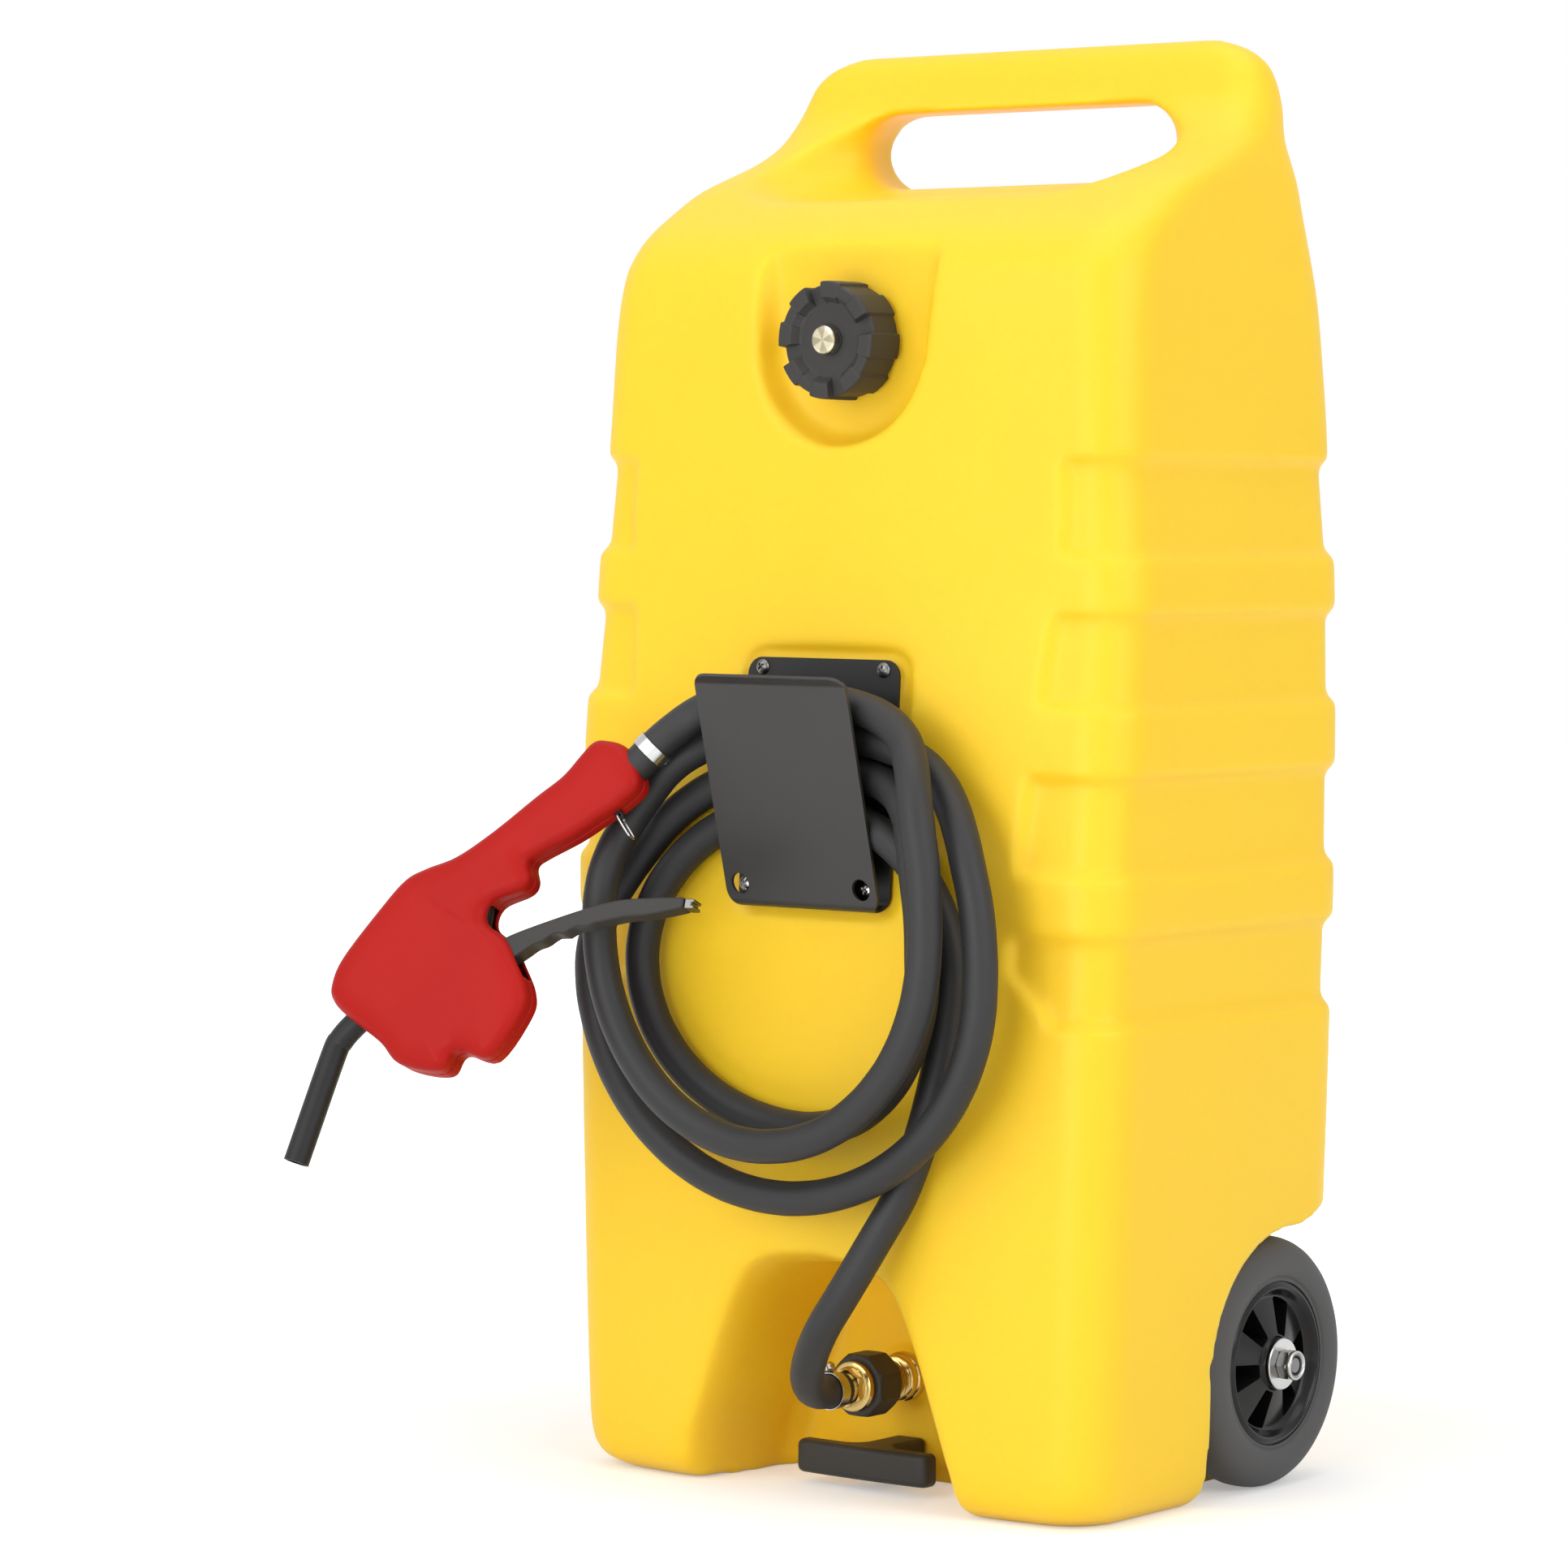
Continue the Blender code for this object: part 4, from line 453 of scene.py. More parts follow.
def make_finish(name, dark, light, roughness, metallic=0.0, grain=(900.0, 0.00005), tone=8.0, rough_change=0.08,
                marks=(40.0, 0.3), mark_colour=(0.5, 0.5, 0.5), dust=0.0, coat=0.0, rings=None, specular=0.5,
                glow=0.0):
    material = bpy.data.materials.new(name)
    material.use_nodes = True
    tree = material.node_tree
    shader = tree.nodes["Principled BSDF"]
    constants = {"Metallic": metallic, "Specular IOR Level": specular, "Coat Weight": coat,
                 "Coat Roughness": COAT_ROUGHNESS, "Subsurface Weight": glow, "Subsurface Radius": GLOW_SPREAD,
                 "Subsurface Scale": GLOW_DEPTH}
    for socket, value in constants.items():
        shader.inputs[socket].default_value = value
    surface = placed(tree, GRAIN, Grain_Scale=grain[0], Tone_Scale=tone)
    scuffs = placed(tree, MARKS, Scale=marks[0], Amount=marks[1])
    film = placed(tree, DUST, Amount=dust, Scale=DUST_SCALE)
    colour = mix_colour(tree, surface.outputs["Tone"], dark, light)
    colour = mix_colour(tree, scuffs.outputs["Mask"], colour, mark_colour)
    colour = mix_colour(tree, film.outputs["Mask"], colour, DUST_COLOUR)
    tree.links.new(colour, shader.inputs["Base Color"])
    change = math_node(tree, "MULTIPLY", math_node(tree, "SUBTRACT", surface.outputs["Tone"], 0.5), 2 * rough_change)
    worn = math_node(tree, "MULTIPLY", math_node(tree, "ADD", scuffs.outputs["Mask"], film.outputs["Mask"]), 0.25)
    rough = math_node(tree, "ADD", math_node(tree, "ADD", change, worn), roughness, clamp=True)
    tree.links.new(rough, shader.inputs["Roughness"])
    bump = tree.nodes.new("ShaderNodeBump")
    bump.inputs["Strength"].default_value = 1.0
    bump.inputs["Distance"].default_value = grain[1]
    height = surface.outputs["Height"]
    if rings:
        height = math_node(tree, "ADD", height, placed(tree, RINGS, Rings_per_Metre=rings).outputs["Height"])
    tree.links.new(height, bump.inputs["Height"])
    tree.links.new(bump.outputs["Normal"], shader.inputs["Normal"])
    FINISHES[name] = material


# %% [markdown]
# The plastics. The tank is blow moulded from yellow polyethylene, satin with hardly any grain. Its
# colour is nearly flat. Light sinks a little way into it and the red part of it travels furthest,
# so the hollows glow orange rather than brown: that is the subsurface weight.
# Cap, nut, guard and lever are dark glass-filled plastic, duller and with a fine spark-eroded grain.

# %% Plastics
make_finish("tank_plastic", (0.96, 0.585, 0.014), (0.99, 0.645, 0.026), 0.46, grain=(420.0, 0.00007), tone=5.0,
            rough_change=0.05, marks=(22.0, 0.04), mark_colour=(1.0, 0.80, 0.18), dust=0.010, specular=0.34,
            glow=0.34)
make_finish("black_plastic", (0.023, 0.022, 0.021), (0.036, 0.034, 0.032), 0.50, grain=(1500.0, 0.00006), tone=14.0,
            marks=(60.0, 0.10), mark_colour=(0.12, 0.12, 0.12), dust=0.03, specular=0.34)
make_finish("rim_plastic", (0.004, 0.004, 0.005), (0.008, 0.008, 0.009), 0.22, grain=(500.0, 0.00002), tone=10.0,
            rough_change=0.05, marks=(80.0, 0.06), mark_colour=(0.05, 0.05, 0.05), dust=0.01, coat=0.08,
            specular=0.25)
make_finish("red_cover", (0.36, 0.006, 0.004), (0.44, 0.011, 0.008), 0.46, grain=(700.0, 0.00006), tone=11.0,
            rough_change=0.06, marks=(45.0, 0.05), mark_colour=(0.52, 0.04, 0.03), dust=0.01, specular=0.14)
print("plastics:", list(FINISHES))

# %% [markdown]
# Rubber scatters light in a wide, weak sheen and is never quite black. The hose is smoother than
# the tyre, which has a chalky bloom from its mould.

# %% Rubbers
make_finish("rubber", (0.016, 0.016, 0.017), (0.026, 0.026, 0.028), 0.54, grain=(1100.0, 0.00008), tone=18.0,
            marks=(70.0, 0.14), mark_colour=(0.11, 0.11, 0.11), dust=0.03, specular=0.38)
make_finish("tyre", (0.060, 0.060, 0.061), (0.082, 0.082, 0.084), 0.70, grain=(1300.0, 0.00010), tone=12.0,
            marks=(50.0, 0.12), mark_colour=(0.15, 0.15, 0.15), dust=0.08)

# %% [markdown]
# Metals. The hose bracket is powder coated, so it is coloured like a dull plastic but a little
# sharper. Washers, bands and collars are bright zinc and the axle nuts a worn one. The upper
# screws, the axle's end and the lever's tip are a duller steel, the fittings turned brass, and the
# nozzle's body and spout dark anodised metal. The lower two bracket screws are the same screws as
# the upper ones but get the bright zinc. That is painted light, lifting them where they sit in shade.

# %% Metals
make_finish("black_steel", (0.030, 0.029, 0.027), (0.042, 0.040, 0.038), 0.42, grain=(1800.0, 0.00005), tone=9.0,
            rough_change=0.06, marks=(55.0, 0.10), mark_colour=(0.15, 0.15, 0.14), dust=0.01, specular=0.36)
make_finish("zinc", (0.42, 0.43, 0.44), (0.62, 0.62, 0.61), 0.22, metallic=1.0, grain=(900.0, 0.00002), tone=60.0,
            rough_change=0.10, marks=(160.0, 0.35), mark_colour=(0.30, 0.30, 0.30), rings=2200.0)
make_finish("worn_zinc", (0.20, 0.20, 0.195), (0.40, 0.40, 0.385), 0.24, metallic=1.0, grain=(900.0, 0.00002),
            tone=90.0, rough_change=0.10, marks=(160.0, 0.35), mark_colour=(0.16, 0.16, 0.16))
make_finish("dull_steel", (0.13, 0.13, 0.13), (0.24, 0.24, 0.235), 0.30, metallic=1.0, grain=(900.0, 0.00003),
            tone=70.0, marks=(160.0, 0.40), mark_colour=(0.10, 0.10, 0.10))
make_finish("brass", (0.50, 0.37, 0.13), (0.70, 0.55, 0.25), 0.16, metallic=1.0, grain=(700.0, 0.00002), tone=50.0,
            rough_change=0.08, marks=(140.0, 0.25), mark_colour=(0.34, 0.22, 0.08), rings=1600.0)
make_finish("pale_brass", (0.62, 0.55, 0.38), (0.74, 0.68, 0.50), 0.26, metallic=1.0, grain=(700.0, 0.00002),
            tone=50.0, rough_change=0.06, marks=(140.0, 0.15), mark_colour=(0.45, 0.38, 0.24))
make_finish("dark_metal", (0.014, 0.014, 0.015), (0.025, 0.025, 0.027), 0.42, metallic=0.15, grain=(1600.0, 0.00005),
            tone=20.0, marks=(90.0, 0.15), mark_colour=(0.10, 0.10, 0.10), dust=0.01, specular=0.22)

# %% [markdown]
# Some surfaces change from one place to another. A lock nut has a nylon ring inside its collar.
# Two others are painted light. The faced knob gets painted fans of highlight and shade round its
# middle, as a brushed face would reflect. The bracket's plate behind the flap is painted darker
# than the flap, which is painted shade. Each is a mask measured from the piece's own coordinates,
# put between the finished colour and the shader.

# %% Finishes that change over a piece
FANS, FIRST_FAN, FAN_EDGE, FAN_SHARE = 4.0, 1.1, 1.8, 0.75
NYLON_REACH, PLATE_SHADE_DEPTH, PLATE_SHADE_EDGE = 0.0078, 0.0100, 200.0


def masked_finish(source, name, measure, colour):
    """The source finish with another colour where the measured mask is 1."""
    material = FINISHES[source].copy()
    material.name = name
    tree = material.node_tree
    shader = tree.nodes["Principled BSDF"]
    mask = measure(tree)
    base = shader.inputs["Base Color"].links[0].from_socket
    tree.links.new(mix_colour(tree, mask, base, colour), shader.inputs["Base Color"])
    FINISHES[name] = material
    return tree, shader, mask


# Painted highlight and shade: fans round local Z stand in for the reflections of a brushed face.
def painted_fan_highlights(tree):
    axes = own_axes(tree)
    turn = math_node(tree, "MULTIPLY", math_node(tree, "ARCTAN2", axes["Y"], axes["X"]), FANS)
    wave = math_node(tree, "SINE", math_node(tree, "ADD", turn, FIRST_FAN))
    fan = math_node(tree, "ADD", math_node(tree, "MULTIPLY", wave, FAN_EDGE), 0.5, clamp=True)
    return math_node(tree, "MULTIPLY", fan, FAN_SHARE)


def near_axis(tree):
    return math_node(tree, "LESS_THAN", from_axis(tree, own_axes(tree)), NYLON_REACH)


# Painted shade: the bracket's plate, behind the flap, is made darker than the flap.
def painted_plate_shade(tree):
    forward = math_node(tree, "ADD", own_axes(tree)["Y"], PLATE_SHADE_DEPTH)
    return math_node(tree, "MULTIPLY", forward, PLATE_SHADE_EDGE, clamp=True)


# The knob gets painted fans of reflection; the darker colour is the painted shade between them.
masked_finish("pale_brass", "brass_painted_fans", painted_fan_highlights, (0.34, 0.30, 0.20))
# The bracket's plate gets painted shade, near black where it sits behind the flap.
masked_finish("black_steel", "steel_with_painted_shade", painted_plate_shade, (0.010, 0.010, 0.010))
tree, shader, mask = masked_finish("zinc", "nylon_in_zinc", near_axis, (0.012, 0.013, 0.018))
tree.links.new(math_node(tree, "SUBTRACT", 1.0, mask), shader.inputs["Metallic"])
print("finishes:", list(FINISHES))


# %% Placing a piece
SMALL_MESH = 20000


def add_piece(name, mesh, look, body="caddy", place=None, stands_for=None):
    """A piece with its finish, riding on its part of the caddy in place of the plain solid."""
    piece = shown(name, mesh)
    piece.matrix_world = place or Matrix.Identity(4)
    if len(mesh.polygons) < SMALL_MESH:
        shading = piece.modifiers.new("flat faces stay flat", "WEIGHTED_NORMAL")
        shading.keep_sharp = True
    mesh.materials.clear()
    mesh.materials.append(FINISHES[look])
    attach(piece, body)
    for node in stands_for or ():
        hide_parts(node)
    return piece


print("pieces below", SMALL_MESH, "faces keep their flat faces flat")

# %% [markdown]
# The hose comes out of the valve, climbs the right side, hangs in the bracket in three loops and
# ends in the nozzle. It is one curve with a round section, since a hose has one thickness all
# along. Each loop is a squared ellipse (left and right reach, middle and bottom height), and small
# steps towards the front, listed by turn, keep the loops apart.

# %% Hose route
HOSE_RADIUS, GAP, OUTLET_END = 0.0120, 0.0003, 0.1241
TAIL_SPACING, LOOP_SPACING, LEAD_SPACING = 0.016, 0.026, 0.011
LOOP_SIZES = ((0.142, 0.122, 0.372, 0.262), (0.168, 0.170, 0.372, 0.216), (0.140, 0.142, 0.400, 0.254))
LOOP_POWERS = ((1.95, 3.0), (2.05, 2.5), (2.9, 2.8))
PASS_HEIGHTS = (0.4840, 0.5105, 0.5355, 0.5585)
LOOP_LAYERS = ((0.00, -0.1697), (0.08, -0.1697), (0.25, -0.1725), (0.45, -0.1725), (0.72, -0.1980),
               (0.80, -0.1980), (0.93, -0.1700), (1.00, -0.1690), (1.10, -0.1690), (1.145, -0.1700),
               (1.26, -0.1975), (1.80, -0.1975), (1.93, -0.1680), (2.00, -0.1735), (2.08, -0.1755),
               (2.12, -0.1825), (2.15, -0.1875), (2.25, -0.2225), (2.80, -0.2225), (2.93, -0.1845),
               (3.00, -0.1845))
TAIL_REACH = 0.1265
TAIL_ROUTE = ((0.1262, -0.1715, 0.370), (0.1200, -0.1715, 0.325), (0.1075, -0.1722, 0.275),
              (0.0899, -0.1750, 0.226), (0.0730, -0.1850, 0.190), (0.0542, -0.1930, 0.155),
              (0.0340, -0.1935, 0.125), (0.0150, -0.1820, 0.0980), (0.0040, -0.1650, 0.0815),
              (0.0000, -0.1470, 0.0755), (0.0000, -0.1330, 0.0750))
LEAD_ROUTE = ((-0.032, -0.1850, 0.5585), (-0.058, -0.1870, 0.5550), (-0.077, -0.1900, 0.5475),
              (-0.0900, -0.1960, 0.5380))
NOZZLE_REAR = (-0.113, -0.212, 0.513)
NOZZLE_YAW, NOZZLE_TILT = math.radians(12), math.radians(20)
HOSE_ENTRY, ENTRY_ANGLE = (0.0015, 0.0005), math.radians(49.6)


def nozzle_axes():
    """Local X runs back along the grip, local Z up it and local Y away from the front."""
    x_axis = Vector((math.cos(NOZZLE_YAW), math.sin(NOZZLE_YAW), 0))
    level = Vector((-math.sin(NOZZLE_YAW), math.cos(NOZZLE_YAW), 0))
    z_axis = Vector((0, 0, math.cos(NOZZLE_TILT))) + level * math.sin(NOZZLE_TILT)
    return Matrix.Translation(NOZZLE_REAR) @ Matrix((x_axis, z_axis.cross(x_axis), z_axis)).transposed().to_4x4()


def entry_point(distance):
    return (HOSE_ENTRY[0] + distance * math.cos(ENTRY_ANGLE), 0, HOSE_ENTRY[1] + distance * math.sin(ENTRY_ANGLE))


def power_arc(value, power):
    return math.copysign(abs(value) ** (2 / power), value)


def layer(turn):
    turns, depths = np.array(LOOP_LAYERS).T
    place = min(int(np.searchsorted(turns, turn, side="right")), len(turns) - 1)
    share = float(ease((turn - turns[place - 1]) / (turns[place] - turns[place - 1])))
    return float(depths[place - 1] + (depths[place] - depths[place - 1]) * share)


def loop_point(turn):
    """The hose's middle after this many turns, starting in the bracket and leaving to the left."""
    number = min(int(turn), len(LOOP_SIZES) - 1)
    left, right, middle, bottom = LOOP_SIZES[number]
    angle = 2 * math.pi * (turn - number)
    half = int(turn - number > 0.5)
    power = LOOP_POWERS[number][half] if math.cos(angle) > 0 else 2
    extreme = PASS_HEIGHTS[number + half] if math.cos(angle) > 0 else bottom
    height = middle + abs(extreme - middle) * power_arc(math.cos(angle), power)
    return (-(left, right)[half] * power_arc(math.sin(angle), power), layer(turn), height)


def hose_route():
    arc = []
    middle, top = TAIL_ROUTE[0][2], PASS_HEIGHTS[0]
    for step in range(9):
        angle = math.pi / 2 * step / 8
        arc.append((TAIL_REACH * math.sin(angle), LOOP_LAYERS[0][1], middle + (top - middle) * math.cos(angle)))
    tail = smooth_open(list(reversed(arc[:-1] + list(TAIL_ROUTE) + [(0, -OUTLET_END, 0.075)])), 6)
    turns = np.linspace(0, len(LOOP_SIZES), len(LOOP_SIZES) * 80 + 1)
    loops = [loop_point(float(turn)) for turn in turns]
    ends = [tuple(NOZZLE @ Vector(entry_point(distance))) for distance in (0.018, 0.009, 0, -0.010)]
    lead = smooth_open([loops[-1]] + list(LEAD_ROUTE) + ends, 6)
    return (even_points(tail, TAIL_SPACING)[:-1] + even_points(loops, LOOP_SPACING)[:-1]
            + even_points(lead, LEAD_SPACING))


NOZZLE = nozzle_axes()
route = hose_route()
print("hose route:", len(route), "points")


# %% Hose
def make_hose(points):
    curve = bpy.data.curves.new("hose", "CURVE")
    curve.dimensions = "3D"
    curve.bevel_depth = HOSE_RADIUS
    curve.bevel_resolution = 8
    curve.resolution_u = 6
    curve.use_fill_caps = True
    spline = curve.splines.new("BEZIER")
    spline.bezier_points.add(len(points) - 1)
    for target, point in zip(spline.bezier_points, points):
        target.co = point
        target.handle_left_type = target.handle_right_type = "AUTO"
    curve.materials.append(FINISHES["rubber"])
    hose = shown("hose", curve)
    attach(hose, "caddy")
    for node in ("hose_tail", "hose_loops", "hose_lead"):
        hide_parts(node)
    return hose


hose = make_hose(route)
length = float(np.linalg.norm(np.diff(np.array(route), axis=0), axis=1).sum())
print("hose length along its points: %.3f m" % length)

# %% [markdown]
# A worm-drive band holds each end of the hose. The band is a thin strip with slots for the screw's
# thread near its housing, and the screw lies across it. The slots are cut through the strip, and
# each band is turned so that its screw lies on the side where a screwdriver reaches it.

# %% Hose bands
CLAMP_WIDTH, CLAMP_THICKNESS, CLAMP_INSIDE = 0.009, 0.0009, 0.006
CLAMP_SLOTS = [math.radians(32 + number * 13) for number in range(7)]


def clamp_mesh():
    inner = HOSE_RADIUS + GAP
    outer = inner + CLAMP_THICKNESS
    band = softened(ring_bar(inner, outer, 0, CLAMP_WIDTH, 96), 0.0002, 2)
    slots = [moved(block((0.004, 0.0011, 0.0055), (outer, 0, CLAMP_WIDTH / 2)), Matrix.Rotation(angle, 4, "Z"))
             for angle in CLAMP_SLOTS]
    band = carved(band, [joined(slots)])
    saddle = softened(block((0.0058, 0.0096, CLAMP_WIDTH + 0.0008), (outer + 0.0025, 0, CLAMP_WIDTH / 2)), 0.0014, 3)
    screw = turned([(0, 0.0078), (0.0018, 0.0078), (0.0034, 0.0070), (0.0036, 0.0050), (0.0026, 0.0048),
                    (0.0026, -0.0058), (0.0020, -0.0064), (0, -0.0064)], 6)
    groove = block((0.0010, 0.009, 0.0020), (0, 0, 0.0080))
    screw = softened(carved(screw, [groove]), 0.0002, 1)
    moved(screw, Matrix.Translation((outer + 0.0028, 0, CLAMP_WIDTH / 2)) @ FACING_FRONT)
    return joined((band, saddle, screw))


def make_clamp(name, end, inside, screw_side):
    start, along = Vector(end), (Vector(inside) - Vector(end)).normalized()
    facing = along.to_track_quat("Z", "X")
    side = facing.inverted() @ Vector(screw_side)
    turn = Matrix.Rotation(math.atan2(side.y, side.x), 4, "Z")
    place = Matrix.Translation(start + along * CLAMP_INSIDE) @ facing.to_matrix().to_4x4() @ turn
    return add_piece(name, clamp_mesh(), "zinc", place=place, stands_for=[name])


clamps = [make_clamp("outlet_clamp", (0, -OUTLET_END, 0.075), (0, -0.1421, 0.075), (-0.4, 0, 0.9)),
          make_clamp("nozzle_clamp", NOZZLE @ Vector(entry_point(0)), NOZZLE @ Vector(entry_point(0.018)), (0, 1, 0))]
print("bands:", [clamp.name for clamp in clamps])

# %% [markdown]
# The tank is one blow-moulded shell, so nothing on it is sharp. A level ring of points describes
# it at each height: a crowned front, round corners and recessed bands round its sides. Lofting the
# rings gives the plain body. The hollows are cut out of it, and a voxel remesh with some smoothing
# then rolls every edge over as the mould does. A subdivision cage would need far more hand work.
# Each station is a share of the height, then shares of the width, front and back. Each band end is
# a height and a width, and each flare of the handle's opening a depth, a growth and a stretch.

# %% Tank measures
TANK_WIDTH, TANK_DEPTH, TANK_HEIGHT, TANK_FRONT = 0.480, 0.308, 1.021, -0.150
CORNER_RADIUS, CROWN_SHARE = 0.040, 0.032
STATIONS = np.array((
    (0.000, 0.868, 0.071, 0.071), (0.007, 0.913, 0.026, 0.029), (0.020, 0.940, 0.005, 0.007),
    (0.040, 0.950, 0.000, 0.000), (0.200, 0.977, 0.000, 0.000), (0.332, 0.992, 0.000, 0.000),
    (0.430, 1.000, 0.000, 0.000), (0.529, 1.000, 0.023, 0.000), (0.627, 0.992, 0.058, 0.000),
    (0.725, 0.960, 0.068, 0.000), (0.793, 0.948, 0.078, 0.016), (0.820, 0.943, 0.089, 0.027),
    (0.838, 0.938, 0.104, 0.039), (0.852, 0.934, 0.133, 0.050), (0.866, 0.930, 0.179, 0.062),
    (0.881, 0.924, 0.252, 0.072), (0.898, 0.917, 0.347, 0.081), (0.910, 0.908, 0.448, 0.091),
    (0.921, 0.898, 0.545, 0.101), (0.940, 0.880, 0.655, 0.110), (0.952, 0.866, 0.700, 0.114),
    (0.964, 0.848, 0.728, 0.118), (0.980, 0.818, 0.745, 0.127), (0.989, 0.775, 0.758, 0.137),
    (0.995, 0.725, 0.772, 0.149), (1.000, 0.650, 0.796, 0.171)))
BAND_SHARES = ((0.332, 0.397), (0.4315, 0.502), (0.542, 0.6095), (0.6415, 0.712))
BAND_DEPTH, BAND_SLOPE = 0.007, 0.008
BAND_ENDS = np.array(((0.335, 0.800), (0.370, 0.650), (0.712, 0.785)))
BAND_BACK_SHARE = 0.62
HANDLE_HOLE_HALF, HANDLE_HOLE_LOW, HANDLE_HOLE_HIGH = 0.134, 0.922, 0.976
HANDLE_FLARES = np.array(((-0.12, 0.020, 0.040), (0.000, 0.012, 0.032), (0.045, 0.004, 0.022), (0.080, 0.000, 0.004),
                          (0.110, 0.001, 0.010), (0.200, 0.014, 0.024)))
FILLER_HEIGHT, RECESS_RADIUS, RECESS_FLOOR, RECESS_DRAFT = 0.805, 0.068, -0.115, 0.006
NECK_RADIUS, NECK_BORE, NECK_LENGTH = 0.031, 0.025, 0.0245
ALCOVE_BACK, ALCOVE_HEIGHT = -0.040, 0.166
ALCOVE_HALF_WIDTHS = ((-0.020, 0.113), (0.020, 0.110), (0.072, 0.092), (0.120, 0.074), (0.148, 0.059),
                      (0.162, 0.040))
OUTLET_HEIGHT, OUTLET_BORE, BOSS_RADIUS, BOSS_LENGTH = 0.075, 0.0125, 0.0185, 0.008
WHEEL_RADIUS, AXLE_Y, AXLE_RADIUS = 0.089, 0.094, 0.00635
WELL_GAP, WELL_FRONT, WELL_INNER = 0.009, -0.002, 0.168
BRACKET_WIDTH, BRACKET_HEIGHT, BRACKET_BOTTOM, BRACKET_REAR = 0.131, 0.172, 0.414, -0.158
BRACKET_LEAN = math.radians(3.5)
POCKET_MARGIN, MOAT_INNER, MOAT_LOW, MOAT_HIGH = 0.0085, 0.004, 0.0022, 0.0062
BRACKET = Matrix.Translation((0, BRACKET_REAR, BRACKET_BOTTOM)) @ Matrix.Rotation(-BRACKET_LEAN, 4, "X")


# %% Tank body
def tank_section(height):
    share = height / TANK_HEIGHT
    half, front, back = (monotone(STATIONS[:, 0], STATIONS[:, column], share) for column in (1, 2, 3))
    return half * TANK_WIDTH / 2, TANK_FRONT + front * TANK_DEPTH, TANK_FRONT + (1 - back) * TANK_DEPTH


def recess_at(height):
    """How far the bands are pressed in at this height, from 0 to 1."""
    found = 0.0
    for low, high in BAND_SHARES:
        rise = ease((height - low * TANK_HEIGHT) / BAND_SLOPE)
        fall = ease((high * TANK_HEIGHT - height) / BAND_SLOPE)
        found = max(found, float(min(rise, fall)))
    return found


def tank_ring(height):
    half, front, back = tank_section(height)
    radius = min(CORNER_RADIUS, (back - front) * 0.48)
    crown = CROWN_SHARE * (back - front)
    flat = half - radius
    end = float(np.interp(height / TANK_HEIGHT, BAND_ENDS[:, 0], BAND_ENDS[:, 1])) * TANK_WIDTH / 2
    end = min(end, flat - BAND_SLOPE * 1.3)
    back_end = BAND_BACK_SHARE * flat
    columns = []
    for x in np.concatenate([np.linspace(0, end, 16), end + BAND_SLOPE * np.array((0.25, 0.5, 0.75, 1)),
                             np.linspace(end + BAND_SLOPE, flat, 9)[1:]]):
        columns.append((x, front - crown * (1 - (x / flat) ** 2), 0, -1, float(ease((x - end) / BAND_SLOPE))))
    for angle in np.radians(np.linspace(-90, 0, 13)[1:]):
        columns.append((flat + radius * math.cos(angle), front + radius + radius * math.sin(angle),
                        math.cos(angle), math.sin(angle), 1))
    for y in np.linspace(front + radius, back - radius, 26)[1:-1]:
        columns.append((half, y, 1, 0, 1))
    for angle in np.radians(np.linspace(0, 90, 13)[:-1]):
        columns.append((flat + radius * math.cos(angle), back - radius + radius * math.sin(angle),
                        math.cos(angle), math.sin(angle), 1))
    for x in np.concatenate([np.linspace(flat, back_end + BAND_SLOPE, 9),
                             back_end + BAND_SLOPE * np.array((0.75, 0.5, 0.25)), np.linspace(back_end, 0, 12)]):
        columns.append((x, back, 0, 1, float(ease((x - back_end) / BAND_SLOPE))))
    depth = recess_at(height) * BAND_DEPTH
    right = [(x - nx * depth * pressed, y - ny * depth * pressed, height) for x, y, nx, ny, pressed in columns]
    return right + [(-x, y, z) for x, y, z in reversed(right[1:-1])]


def tank_levels():
    levels = list(np.arange(0.003, TANK_HEIGHT - 0.001, 0.0045)) + [0, TANK_HEIGHT]
    for low, high in BAND_SHARES:
        for base in (low * TANK_HEIGHT, high * TANK_HEIGHT - BAND_SLOPE):
            levels += [base + BAND_SLOPE * step / 4 for step in range(5)]
    levels, kept = sorted(levels), []
    for level in levels:
        if not kept or level - kept[-1] > 0.001:
            kept.append(level)
    return kept


tank_body = loft([tank_ring(float(level)) for level in tank_levels()])
print("tank body:", len(tank_body.vertices), "points")


# %% Tank hollows
def rounded_box(half, low, high, radius, steps=12, stretch=0.0):
    """The ends' arcs can be stretched sideways into ellipses."""
    outline = []
    for x, z, start in ((half - radius, high - radius, 0), (radius - half, high - radius, 90),
                        (radius - half, low + radius, 180), (half - radius, low + radius, 270)):
        for angle in np.radians(np.linspace(start, start + 90, steps + 1)):
            outline.append((x + (radius + stretch) * math.cos(angle), z + radius * math.sin(angle)))
    return outline


def handle_hole():
    """Wider and more pointed at both faces, so that the posts beside it are round."""
    rings = []
    for y in np.linspace(-0.12, 0.2, 40):
        grow, stretch = (monotone(HANDLE_FLARES[:, 0], HANDLE_FLARES[:, column], float(y)) for column in (1, 2))
        low, high = HANDLE_HOLE_LOW - grow, HANDLE_HOLE_HIGH + grow
        outline = rounded_box(HANDLE_HOLE_HALF + grow, low, high, (high - low) * 0.495, stretch=stretch)
        rings.append([(x, float(y), z) for x, z in outline])
    return loft(rings)


